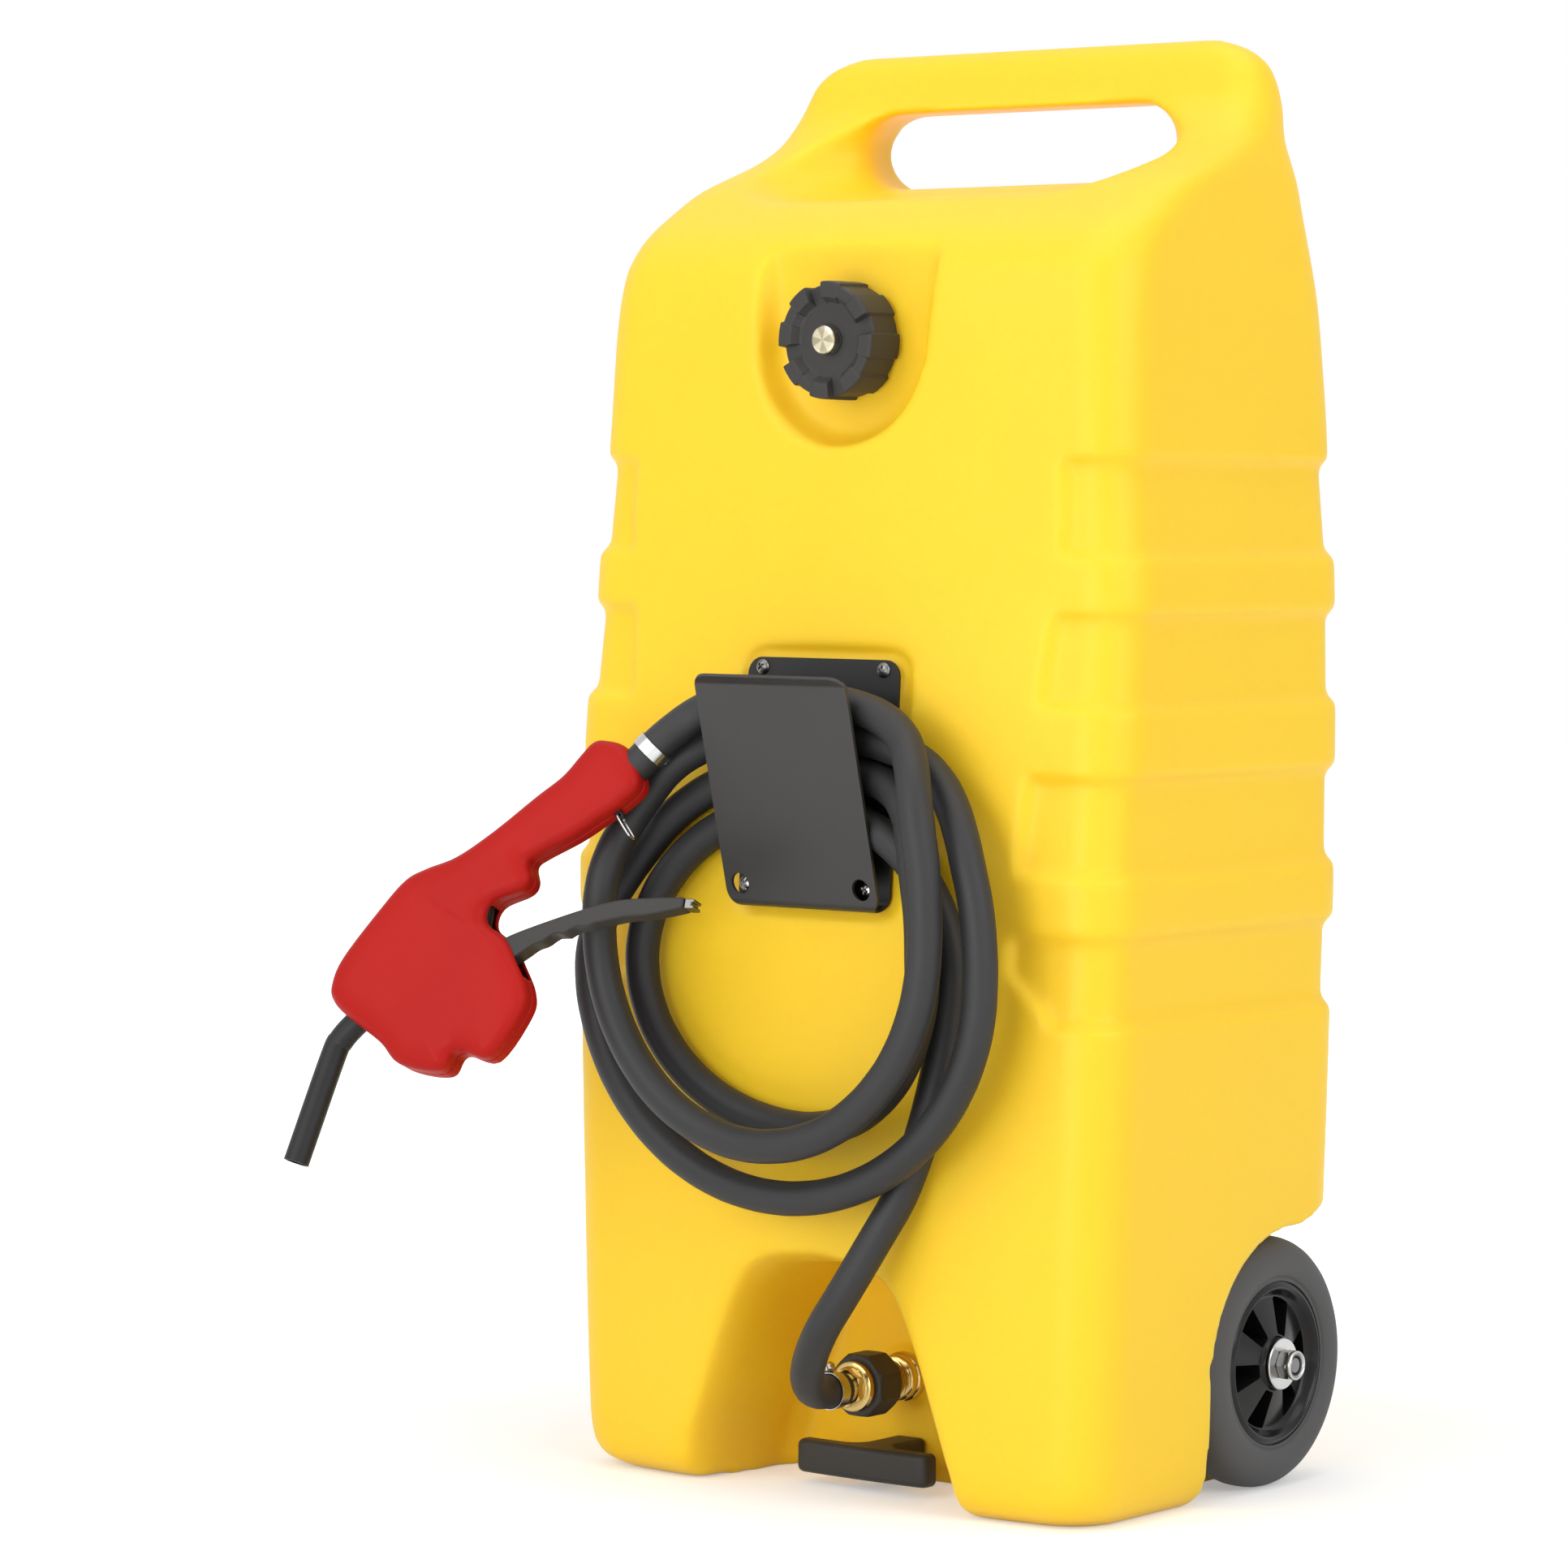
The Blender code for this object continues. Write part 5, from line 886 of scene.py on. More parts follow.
def alcove():
    right = smooth_open([(half, z) for z, half in ALCOVE_HALF_WIDTHS], 4)
    outline = right + [(0, ALCOVE_HEIGHT)] + [(-x, z) for x, z in reversed(right)]
    rings = []
    for y, grow in ((-0.220, 0.020), (-0.152, 0.006), (-0.135, 0.0), (ALCOVE_BACK - 0.015, -0.008),
                    (ALCOVE_BACK, -0.018)):
        ring = []
        for x, z in outline:
            reach = math.hypot(x, z - ALCOVE_HEIGHT / 3)
            ring.append((x * (1 + grow / reach), y, ALCOVE_HEIGHT / 3 + (z - ALCOVE_HEIGHT / 3) * (1 + grow / reach)))
        rings.append(ring)
    return loft(rings)


def wheel_well(side):
    reach = WHEEL_RADIUS + WELL_GAP
    outline = [(WELL_FRONT, -0.02), (WELL_FRONT, WHEEL_RADIUS - WELL_GAP)]
    for angle in np.radians(np.linspace(175, 85, 31)):
        outline.append((AXLE_Y + reach * math.cos(angle), WHEEL_RADIUS + reach * math.sin(angle)))
    outline += [(0.135, 0.197), (0.200, 0.207), (0.200, -0.02)]
    return loft([[(side * x, y, z) for y, z in outline] for x in (WELL_INNER, TANK_WIDTH)])


def heel():
    outline = [(0.098, -0.001), (0.118, -0.03), (0.25, -0.03), (0.25, 0.078), (0.200, 0.078)]
    return loft([[(x, y, z) for y, z in outline] for x in (-TANK_WIDTH, TANK_WIDTH)])


def filler_recess():
    rings = []
    for y, flare in ((-0.200, RECESS_DRAFT * 3), (-0.128, RECESS_DRAFT / 2), (-0.120, 0), (RECESS_FLOOR, -0.004)):
        radius = RECESS_RADIUS + flare
        outline = [(radius * math.cos(a), FILLER_HEIGHT + radius * math.sin(a))
                   for a in np.radians(np.arange(180, 361, 5))]
        outline += [(radius + 0.012, FILLER_HEIGHT + 0.110), (-radius - 0.012, FILLER_HEIGHT + 0.110)]
        rings.append([(x, y, z) for x, z in outline])
    return loft(rings)


def along_y(radius, front, back, z, steps=48):
    return moved(rod(radius, -back, -front, steps), Matrix.Translation((0, 0, z)) @ FACING_FRONT)


def bracket_pocket():
    pocket = softened(block((BRACKET_WIDTH + 2 * POCKET_MARGIN, 0.04, BRACKET_HEIGHT + 2 * POCKET_MARGIN),
                            (0, -0.02 + GAP, BRACKET_HEIGHT / 2)), 0.0075, 4)
    return moved(pocket, BRACKET)


def bracket_moat():
    """The pocket's floor dips round the plate, deeper towards its top."""
    rings = []
    for grow, front in ((POCKET_MARGIN, True), (POCKET_MARGIN, False), (-MOAT_INNER, False), (-MOAT_INNER, True)):
        outline = rounded_box(BRACKET_WIDTH / 2 + grow, -grow, BRACKET_HEIGHT + grow, 0.012 + max(grow, 0))
        rings.append([(x, -0.03 if front else MOAT_LOW + (MOAT_HIGH - MOAT_LOW) * z / BRACKET_HEIGHT, z)
                      for x, z in outline])
    return moved(welded(loft(rings + rings[:1], capped=False)), BRACKET)


neck_front, boss_front = RECESS_FLOOR - NECK_LENGTH, ALCOVE_BACK - BOSS_LENGTH
hollows = [handle_hole(), filler_recess(), alcove(), wheel_well(1), wheel_well(-1), heel(), bracket_pocket(),
           bracket_moat()]
tank_body = carved(tank_body, hollows, solver="MANIFOLD")
bosses = [along_y(NECK_RADIUS, neck_front, RECESS_FLOOR + 0.004, FILLER_HEIGHT),
          along_y(BOSS_RADIUS, boss_front, ALCOVE_BACK + 0.004, OUTLET_HEIGHT)]
tank_body = carved(tank_body, bosses, "UNION", "MANIFOLD")
axle_bore = moved(rod(AXLE_RADIUS + GAP, -TANK_WIDTH, TANK_WIDTH),
                  Matrix.Translation((0, AXLE_Y, WHEEL_RADIUS)) @ FACING_RIGHT)
tank_body = carved(tank_body, [along_y(NECK_BORE, -0.2, -0.06, FILLER_HEIGHT),
                               along_y(OUTLET_BORE, -0.2, -0.01, OUTLET_HEIGHT), axle_bore], solver="MANIFOLD")
print("tank after its hollows:", len(tank_body.vertices), "points")


# %% Tank edges rolled over
TANK_VOXEL, QUICK_VOXEL = 0.0030, 0.0040


def rolled(mesh, voxel, passes, zones=()):
    """Even small faces all over, then smoothing; zones are (passes, weight of a point) for softer places."""
    piece = loose(mesh)
    remesh = piece.modifiers.new("even faces", "REMESH")
    remesh.mode = "VOXEL"
    remesh.voxel_size = voxel
    remesh.use_smooth_shade = True
    smooth = piece.modifiers.new("roll edges", "SMOOTH")
    smooth.factor, smooth.iterations = 0.5, passes
    piece = loose(baked(piece, sharp=80))
    for number, (more, weigh) in enumerate(zones):
        zone = piece.vertex_groups.new(name=f"zone {number}")
        for vertex in piece.data.vertices:
            weight = weigh(vertex.co)
            if weight > 0:
                zone.add([vertex.index], weight, "REPLACE")
        again = piece.modifiers.new("softer", "SMOOTH")
        again.factor, again.iterations, again.vertex_group = 0.5, more, zone.name
    return baked(piece, sharp=80)


def near_handle(point):
    return float(ease((point.z - 0.88) / 0.04))


def near_recess(point):
    """Strongest along the rim of the recess round the cap."""
    reach = math.hypot(point.x, min(point.z - FILLER_HEIGHT, 0))
    return float(ease(1 - abs(reach - RECESS_RADIUS - 0.004) / 0.016)) if point.y < -0.09 and point.z > 0.7 else 0.0


def near_alcove(point):
    """The alcove's rim in the front wall is rounder than the other edges."""
    if point.y > -0.105 or point.z > ALCOVE_HEIGHT + 0.03:
        return 0.0
    heights, halves = zip(*ALCOVE_HALF_WIDTHS)
    beside = abs(point.x) - float(np.interp(point.z, heights, halves))
    reach = abs(beside) if point.z < heights[-1] else math.hypot(max(beside, 0), point.z - ALCOVE_HEIGHT)
    return float(ease(1 - reach / 0.030))


tank_mesh = rolled(tank_body, TANK_VOXEL, 8,
                   ((24, near_handle), (14, near_recess), (60, near_alcove)))
add_piece("tank_shell", tank_mesh, "tank_plastic", stands_for=["tank"])
print("tank shell:", len(tank_mesh.polygons), "faces")

# %% [markdown]
# The filler cap's face is a deep dish inside a raised rim. Four gaps cut the rim down to the dish,
# and a shallow groove splits each of the four grips. Three profiles describe it, through a grip, a
# groove and a gap, and each column of points round the cap is a blend of them. Carving the gaps
# would leave knife edges that the moulded cap doesn't have.

# %% Filler cap
CAP_BORE, CAP_FRONT, CAP_INSIDE = 0.0335, -0.152, -0.0075
GRIP_PROFILE = ((0.0335, -0.0340), (0.0392, -0.0340), (0.0406, -0.0334), (0.0410, -0.0322), (0.0410, -0.0180),
                (0.0409, -0.0100), (0.0408, -0.0040), (0.0405, -0.0012), (0.0397, -0.0003), (0.0384, 0.0),
                (0.0306, 0.0), (0.0295, -0.0004), (0.0289, -0.0014), (0.0262, -0.0052), (0.0252, -0.0060))
GROOVE_PROFILE = ((0.0335, -0.0340), (0.0374, -0.0340), (0.0386, -0.0334), (0.0390, -0.0322), (0.0390, -0.0180),
                  (0.0389, -0.0100), (0.0388, -0.0046), (0.0385, -0.0022), (0.0379, -0.0012), (0.0370, -0.0010),
                  (0.0318, -0.0010), (0.0307, -0.0013), (0.0300, -0.0022), (0.0268, -0.0054), (0.0254, -0.0060))
GAP_PROFILE = ((0.0335, -0.0340), (0.0374, -0.0340), (0.0386, -0.0334), (0.0390, -0.0322), (0.0390, -0.0180),
               (0.0390, -0.0120), (0.0389, -0.0082), (0.0386, -0.0069), (0.0379, -0.0063), (0.0370, -0.0062),
               (0.0320, -0.0062), (0.0306, -0.0062), (0.0294, -0.0062), (0.0268, -0.0062), (0.0254, -0.0062))
DISH_PROFILE = ((0.0238, -0.0062), (0.0140, -0.0062), (0.0118, -0.0062), (0.0100, -0.0062), (0.0038, -0.0062),
                (0.0038, CAP_INSIDE), (CAP_BORE, CAP_INSIDE))
FIRST_GAP, GAP_HALF, GROOVE_HALF, GRIP_EDGE = 16, 9.0, 9.0, 1.8


def cap_mesh(gaps=4):
    pitch = 360 / gaps
    steps = [0, GAP_HALF, GAP_HALF + GRIP_EDGE / 2, GAP_HALF + GRIP_EDGE, 17, 25, 31]
    steps += [pitch / 2 - GROOVE_HALF - GRIP_EDGE * back for back in (1, 0.5, 0)] + [pitch / 2 - 4]
    steps += [pitch / 2] + [pitch - step for step in reversed(steps[1:])]
    rings = []
    for number in range(gaps):
        for step in steps:
            in_gap = 1 - float(ease((min(step, pitch - step) - GAP_HALF) / GRIP_EDGE))
            in_groove = 1 - float(ease((abs(step - pitch / 2) - GROOVE_HALF) / GRIP_EDGE))
            turn = math.radians(FIRST_GAP + number * pitch + step)
            ring = []
            for (r0, z0), (r1, z1), (r2, z2) in zip(GRIP_PROFILE, GROOVE_PROFILE, GAP_PROFILE):
                ring.append((r0 + (r1 - r0) * in_groove + (r2 - r0) * in_gap,
                             z0 + (z1 - z0) * in_groove + (z2 - z0) * in_gap))
            rings.append([(radius * math.cos(turn), radius * math.sin(turn), height)
                          for radius, height in ring + list(DISH_PROFILE)])
    return welded(loft(rings + rings[:1], capped=False))


CAP = Matrix.Translation((0, CAP_FRONT, FILLER_HEIGHT)) @ FACING_FRONT
cap = cap_mesh()
print("cap:", len(cap.vertices), "points before its edges are rounded")
add_piece("filler_cap", softened(cap, 0.0004, 2, 35), "black_plastic", "cap", CAP, ["fuel_cap"])

# %% [markdown]
# The vent is a small brass knob in the middle of the dish, with a fine knurl and a faced top. A
# ring of short and long teeth, lofted through a few heights, gives the knurl and its chamfers, which
# is lighter than cutting 36 grooves. A thin rubber washer lies under it.

# %% Vent screw
KNOB_LOW, KNOB_TOP, KNOB_RADIUS, KNURL_DEPTH, KNURL_TEETH = -0.0050, 0.0015, 0.01, 0.0003, 72
STEM_RADIUS, STEM_END = 0.0034, -0.0115


def vent_mesh():
    low, top = KNOB_LOW, KNOB_TOP
    teeth = []
    for number in range(KNURL_TEETH):
        radius = KNOB_RADIUS if number % 2 else KNOB_RADIUS - KNURL_DEPTH
        angle = 2 * math.pi * number / KNURL_TEETH
        teeth.append((radius * math.cos(angle), radius * math.sin(angle)))
    rows = [(0.0094, low), (0.0100, low + 0.0006), (0.0100, top - 0.0009), (0.0093, top - 0.0002), (0.0084, top),
            (0.0070, top + 0.00005), (0.0040, top + 0.0001), (0.0012, top + 0.0001), (0.0002, top + 0.0001)]
    knob = loft([[(x * radius / KNOB_RADIUS, y * radius / KNOB_RADIUS, height) for x, y in teeth]
                 for radius, height in rows])
    return joined((knob, rod(STEM_RADIUS, STEM_END, low + 0.001)), 30)


# The knob's faced top carries painted fans of highlight and shade.
add_piece("vent_knob", vent_mesh(), "brass_painted_fans", "vent", CAP, ["vent_screw"])
washer = softened(ring_bar(0.0038, 0.0108, -0.0061, KNOB_LOW - 0.0001), 0.0003)
add_piece("vent_washer", washer, "rubber", "vent_ring", CAP, ["vent_seal"])
print("cap and vent made")

# %% [markdown]
# The hose bracket is one strip of sheet steel, folded up into a trough with a flared lip. Its
# middle line is drawn from the side and given the sheet's thickness, the corners at the ends and at
# the fold are rounded, and the cut edges get a small bevel that catches light. Two holes let a
# screwdriver through.

# %% Hose bracket
SHEET, CHANNEL = 0.0025, 0.0100
FLAP_LEAN, FLAP_HEIGHT, LIP_LENGTH, LIP_LEAN = math.radians(18.0), 0.154, 0.009, math.radians(52)
BRACKET_CORNER, SCREW_SPAN_X, SCREW_LOW, SCREW_SPAN_Z = 0.012, 0.105, 0.0140, 0.151
SCREW_HEAD, SCREW_RADIUS, ACCESS_HOLE, LOW_SCREW_SHIFT = 0.0055, 0.0025, 0.0074, -0.0065


def bracket_line():
    bend = CHANNEL / 2 + SHEET / 2
    drops = BRACKET_CORNER * (1 - np.cos(np.radians(np.arange(0, 91, 10))))
    line = [(-SHEET / 2, BRACKET_HEIGHT - drop) for drop in drops]
    line += [(-SHEET / 2, float(z)) for z in np.linspace(BRACKET_HEIGHT - BRACKET_CORNER, BRACKET_CORNER, 8)[1:]]
    line += [(-SHEET / 2, float(z)) for z in np.linspace(BRACKET_CORNER, bend, 6)[1:]]
    for step in range(1, 15):
        angle = math.radians(180 * step / 14) - FLAP_LEAN * step / 14
        line.append((-SHEET / 2 - bend * (1 - math.cos(angle)), bend - bend * math.sin(angle)))
    y, z = line[-1]
    for length in list(np.linspace(0, BRACKET_CORNER, 8)[1:]) + list(np.linspace(BRACKET_CORNER, FLAP_HEIGHT, 9)[1:]):
        line.append((y - length * math.sin(FLAP_LEAN), z + length * math.cos(FLAP_LEAN)))
    y, z = line[-1]
    steps = 12
    for step in range(steps):
        lean = FLAP_LEAN + (LIP_LEAN - FLAP_LEAN) * min((step + 1) / 4, 1)
        y, z = y - LIP_LENGTH / steps * math.sin(lean), z + LIP_LENGTH / steps * math.cos(lean)
        line.append((y, z))
    return line


def bracket_mesh():
    line = np.array(bracket_line())
    travel = np.concatenate([[0], np.cumsum(np.linalg.norm(np.diff(line, axis=0), axis=1))])
    rows = []
    for index, (y, z) in enumerate(line):
        missing = max(BRACKET_CORNER - min(travel[index], travel[-1] - travel[index], z + SHEET / 2), 0)
        half = BRACKET_WIDTH / 2 - BRACKET_CORNER + math.sqrt(max(BRACKET_CORNER ** 2 - missing ** 2, 0))
        before, after = line[index] - line[max(index - 1, 0)], line[min(index + 1, len(line) - 1)] - line[index]
        along = before / (np.linalg.norm(before) or 1) + after / (np.linalg.norm(after) or 1)
        along = along / np.linalg.norm(along)
        across = np.array((-along[1], along[0])) * SHEET / 2
        rows.append([(-half, y + across[0], z + across[1]), (half, y + across[0], z + across[1]),
                     (half, y - across[0], z - across[1]), (-half, y - across[0], z - across[1])])
    sheet = loft(rows)
    holes = []
    inside, beyond = SHEET + CHANNEL / 2, 0.05
    for x, z in bracket_screws():
        holes.append(moved(rod(SCREW_RADIUS + GAP, -0.01, inside), Matrix.Translation((x, 0, z)) @ FACING_FRONT))
    for x in (-SCREW_SPAN_X / 2, SCREW_SPAN_X / 2):
        access = rod(ACCESS_HOLE, inside, beyond, 40)
        holes.append(moved(access, Matrix.Translation((x, 0, SCREW_LOW)) @ FACING_FRONT))
    return softened(carved(sheet, holes), 0.0007, 3, 30)


def bracket_screws():
    """The lower two sit a little left of the holes that a screwdriver goes through."""
    rows = ((SCREW_LOW + SCREW_SPAN_Z, 0), (SCREW_LOW, LOW_SCREW_SHIFT))
    return [(x + shift, z) for z, shift in rows for x in (-SCREW_SPAN_X / 2, SCREW_SPAN_X / 2)]


# The bracket's finish paints shade on the plate behind the flap.
add_piece("bracket", bracket_mesh(), "steel_with_painted_shade", place=BRACKET, stands_for=["hose_bracket"])


# %% Bracket screws
def screw_mesh(turn):
    """A pan head with a cross recess."""
    head = SHEET + GAP
    profile = [(0, head + 0.0027), (0.0020, head + 0.0026), (0.0038, head + 0.0021), (0.0049, head + 0.0013),
               (0.0054, head + 0.0005), (SCREW_HEAD, head), (SCREW_RADIUS, head), (SCREW_RADIUS, -0.0018),
               (0, -0.0018)]
    cross = [block((across, along, 0.0038), (0, 0, head + 0.0028))
             for across, along in ((0.0062, 0.0015), (0.0015, 0.0062))]
    return moved(softened(carved(turned(profile, 48), cross), 0.0002, 1, 35), Matrix.Rotation(turn, 4, "Z"))


for number, (x, z) in enumerate(bracket_screws(), 1):
    place = BRACKET @ Matrix.Translation((x, 0, z)) @ FACING_FRONT
    # The lower two screws get the brighter zinc as painted light, since they sit in the bracket's shade.
    look = "dull_steel" if number < 3 else "zinc"
    add_piece(f"pan_screw_{number}", screw_mesh(number * 0.7), look, place=place,
              stands_for=[f"bracket_screw_{number}"])
print("bracket made")

# %% [markdown]
# The outlet is turned brass, screwed into the tank. A dark eight-sided union nut sits on it, then
# a polished ring with a hexagon for the spanner, and the hose goes over the barb. All are profiles
# swept round the outlet's axis, and the nuts are prisms with their corners taken off by a cone.

# %% Outlet fittings
OUTLET = Matrix.Translation((0, ALCOVE_BACK, OUTLET_HEIGHT)) @ FACING_FRONT
NUT_RADIUS, NUT_LENGTH, RING_RADIUS, HEX_RADIUS = 0.0235, 0.026, 0.0178, 0.0145
FITTING_RADIUS, FITTING_LENGTH, FITTING_BORE = 0.0165, 0.031, 0.0065


def polygon(radius, sides, turn=0.5):
    return [(radius * math.cos(2 * math.pi * (number + turn) / sides),
             radius * math.sin(2 * math.pi * (number + turn) / sides)) for number in range(sides)]


def nut_mesh(bore, radius, sides, low, high, chamfer, rounding=0.0004):
    """A polygon whose corners are cut by a cone at both ends."""
    depth = chamfer * 1.2
    cone = turned([(0, high), (radius - chamfer, high), (radius + 0.0004, high - depth),
                   (radius + 0.0004, low + depth), (radius - chamfer, low), (0, low)], 96)
    nut = carved(prism(polygon(radius, sides), low - 0.001, high + 0.001), [cone], "INTERSECT")
    return softened(carved(nut, [rod(bore, low - 0.01, high + 0.01, 64)]), rounding, 2, 25)


def fitting_mesh():
    low = BOSS_LENGTH + GAP + 0.0016 + GAP
    high = low + FITTING_LENGTH
    profile = [(FITTING_BORE, high), (FITTING_RADIUS - 0.003, high), (FITTING_RADIUS - 0.0025, high - 0.001)]
    for number in range(7):
        top = high - 0.002 - number * 0.0022
        profile += [(FITTING_RADIUS - 0.0022, top), (FITTING_RADIUS - 0.0004, top - 0.0009),
                    (FITTING_RADIUS - 0.0004, top - 0.0013)]
    profile += [(FITTING_RADIUS - 0.0022, low + 0.0120), (FITTING_RADIUS - 0.0006, low + 0.0112),
                (FITTING_RADIUS, low + 0.0100), (FITTING_RADIUS, low + 0.0062),
                (FITTING_RADIUS - 0.0008, low + 0.0050), (BOSS_RADIUS - 0.0014, low + 0.0042),
                (BOSS_RADIUS - 0.0008, low + 0.0032), (BOSS_RADIUS - 0.0008, low), (0.0122, low), (0.0122, -0.0185),
                (FITTING_BORE, -0.0185)]
    return turned(profile, 96, closed=True), high


fitting, fitting_end = fitting_mesh()
add_piece("outlet_tube", fitting, "brass", place=OUTLET, stands_for=["outlet_fitting"])
low = fitting_end + GAP
high = low + NUT_LENGTH
union_nut = nut_mesh(0.0115, NUT_RADIUS, 8, low, high, 0.0030, 0.0012)
add_piece("union_nut", union_nut, "black_plastic", place=OUTLET, stands_for=["coupling_nut"])


def adapter_mesh(low):
    ring = [(FITTING_BORE, low + 0.0070), (0.0138, low + 0.0070), (0.0146, low + 0.0062), (0.0160, low + 0.0060),
            (0.0172, low + 0.0054), (RING_RADIUS, low + 0.0042), (RING_RADIUS, low + 0.0010), (0.0170, low),
            (FITTING_BORE, low)]
    barb = [(FITTING_BORE, low + 0.016), (0.0100, low + 0.016), (0.0106, low + 0.0152), (0.0106, low + 0.0130),
            (FITTING_BORE, low + 0.0125)]
    hexagon = nut_mesh(FITTING_BORE, HEX_RADIUS, 6, low + 0.0068, low + 0.0130, 0.0014)
    return joined((turned(ring, 96, closed=True), hexagon, turned(barb, 64, closed=True)), 35)


add_piece("hose_adapter", adapter_mesh(high + GAP), "brass", place=OUTLET, stands_for=["barb_adapter"])
print("outlet ends at", round(-ALCOVE_BACK + high + GAP + 0.016, 4))

# %% [markdown]
# A block of dark plastic in front of the outlet takes knocks for it. Its outline from above is a T
# whose stem reaches the tank. The corners are rounded generously, as on any moulded bumper.

# %% Front guard
GUARD_LENGTH, GUARD_THICKNESS, GUARD_FRONT, GUARD_LOW, GUARD_HIGH = 0.115, 0.018, -0.105, 0.0075, 0.031
GUARD_ARM, GUARD_END, GUARD_FILLET, GUARD_BOW = 0.026, 0.0065, 0.012, 0.0020


def arc(x, y, radius, first, last, steps=7):
    return [(x + radius * math.cos(a), y + radius * math.sin(a)) for a in np.radians(np.linspace(first, last, steps))]


def guard_mesh():
    """Seen from above: a bowed bar with round ends, and a stem that widens towards the bar."""
    half, arm, back = GUARD_LENGTH / 2, GUARD_ARM / 2, GUARD_FRONT + GUARD_THICKNESS
    right = [(x, GUARD_FRONT + GUARD_BOW * (x / half) ** 2) for x in np.linspace(0, half - GUARD_END * 1.3, 8)]
    right += arc(half - GUARD_END, GUARD_FRONT + GUARD_BOW + GUARD_END, GUARD_END, -75, 0)
    right += arc(half - GUARD_END * 0.7, back - GUARD_END * 0.7, GUARD_END * 0.7, 0, 90)
    right += arc(arm + GUARD_FILLET, back + GUARD_FILLET, GUARD_FILLET, 270, 180) + [(arm, ALCOVE_BACK - GAP)]
    outline = right + [(-x, y) for x, y in reversed(right[1:])]
    return softened(prism(outline, GUARD_LOW, GUARD_HIGH), 0.0044, 4, 45)


bumper = add_piece("bumper", guard_mesh(), "black_plastic", stands_for=["front_guard"])
print("guard:", [round(side, 4) for side in bumper.dimensions])

# %% [markdown]
# The wheels have a solid tyre on a glossy moulded rim. The tyre is a smooth profile swept round,
# with a fine moulding line on its side. The rim falls away from its hub as a shallow cone and rises
# again in a wide sloping wall, and six blind windows leave six spokes. Cutting the windows from a
# turned disc gives true, crisp spokes.

# %% Wheels
TYRE_WIDTH, RIM_RADIUS, HUB_RADIUS, SPOKES, WHEEL_FACE = 0.044, 0.0578, 0.0185, 6, 0.222
WINDOW_EDGE, WINDOW_SHARE, FIRST_WINDOW = 0.0112, 0.22, math.radians(-20)
WASHER_RADIUS, WASHER_THICKNESS, NUT_FLATS, NUT_DEPTH = 0.0183, 0.0022, 0.019, 0.011
HEXAGON_SHARE, COLLAR_SHARE, WHEEL_PLAY = 0.72, 0.3, 0.001


def tyre_mesh():
    half = TYRE_WIDTH / 2
    side = [(RIM_RADIUS + GAP, half - 0.0032), (RIM_RADIUS + 0.0012, half - 0.0030),
            (RIM_RADIUS + 0.0030, half - 0.0034), (RIM_RADIUS + 0.0036, half - 0.0024),
            (RIM_RADIUS + 0.0050, half - 0.0012), (0.0665, half - 0.0002),
            (0.0700, half), (0.0735, half - 0.0003), (0.0775, half - 0.0014), (0.0808, half - 0.0030),
            (0.0838, half - 0.0053), (0.0862, half - 0.0083), (0.0878, half - 0.0118), (0.0887, half - 0.0155),
            (WHEEL_RADIUS, half - 0.0195)]
    return turned(side + [(radius, -height) for radius, height in reversed(side)], 144, closed=True)


def rim_mesh():
    half = TYRE_WIDTH / 2
    front = [(AXLE_RADIUS + GAP, half), (HUB_RADIUS - 0.0014, half), (HUB_RADIUS - 0.0004, half - 0.0004),
             (HUB_RADIUS, half - 0.0016), (HUB_RADIUS + 0.0010, half - 0.0032), (0.0300, half - 0.0060),
             (0.0400, half - 0.0086), (0.0452, half - 0.0100), (0.0470, half - 0.0101), (0.0484, half - 0.0092),
             (0.0500, half - 0.0066), (0.0514, half - 0.0040), (0.0526, half - 0.0024),
             (0.0538, half - 0.0018), (0.0550, half - 0.0020), (0.0564, half - 0.0028), (RIM_RADIUS, half - 0.0036)]
    back = [(RIM_RADIUS, -half + 0.0036), (0.0540, -half + 0.0014), (0.0514, -half + 0.0020),
            (0.0496, -half + 0.0080), (0.0488, half - 0.0300), (HUB_RADIUS + 0.0020, half - 0.0300),
            (HUB_RADIUS, half - 0.0318), (HUB_RADIUS, -half + 0.0020), (HUB_RADIUS - 0.0018, -half),
            (AXLE_RADIUS + GAP, -half)]
    inner, outer = HUB_RADIUS + 0.0020, RIM_RADIUS - WINDOW_EDGE
    spread = math.radians(360 / SPOKES * WINDOW_SHARE)
    window = [(inner * math.cos(a), inner * math.sin(a)) for a in np.linspace(-spread, spread, 5)]
    window += [(outer * math.cos(a), outer * math.sin(a)) for a in np.linspace(spread, -spread, 11)]
    window = softened(prism(window, half - 0.026, half), 0.0018, 3, 50)
    windows = [moved(window.copy(), Matrix.Rotation(2 * math.pi * number / SPOKES + FIRST_WINDOW, 4, "Z"))
               for number in range(SPOKES)]
    return softened(carved(turned(front + back, 144, closed=True), windows), 0.0007, 2, 35)


def washer_mesh(low):
    profile = [(AXLE_RADIUS + GAP, low + WASHER_THICKNESS), (WASHER_RADIUS - 0.0006, low + WASHER_THICKNESS),
               (WASHER_RADIUS, low + WASHER_THICKNESS - 0.0007), (WASHER_RADIUS, low + 0.0004),
               (WASHER_RADIUS - 0.0003, low), (AXLE_RADIUS + GAP, low)]
    return turned(profile, 96, closed=True)


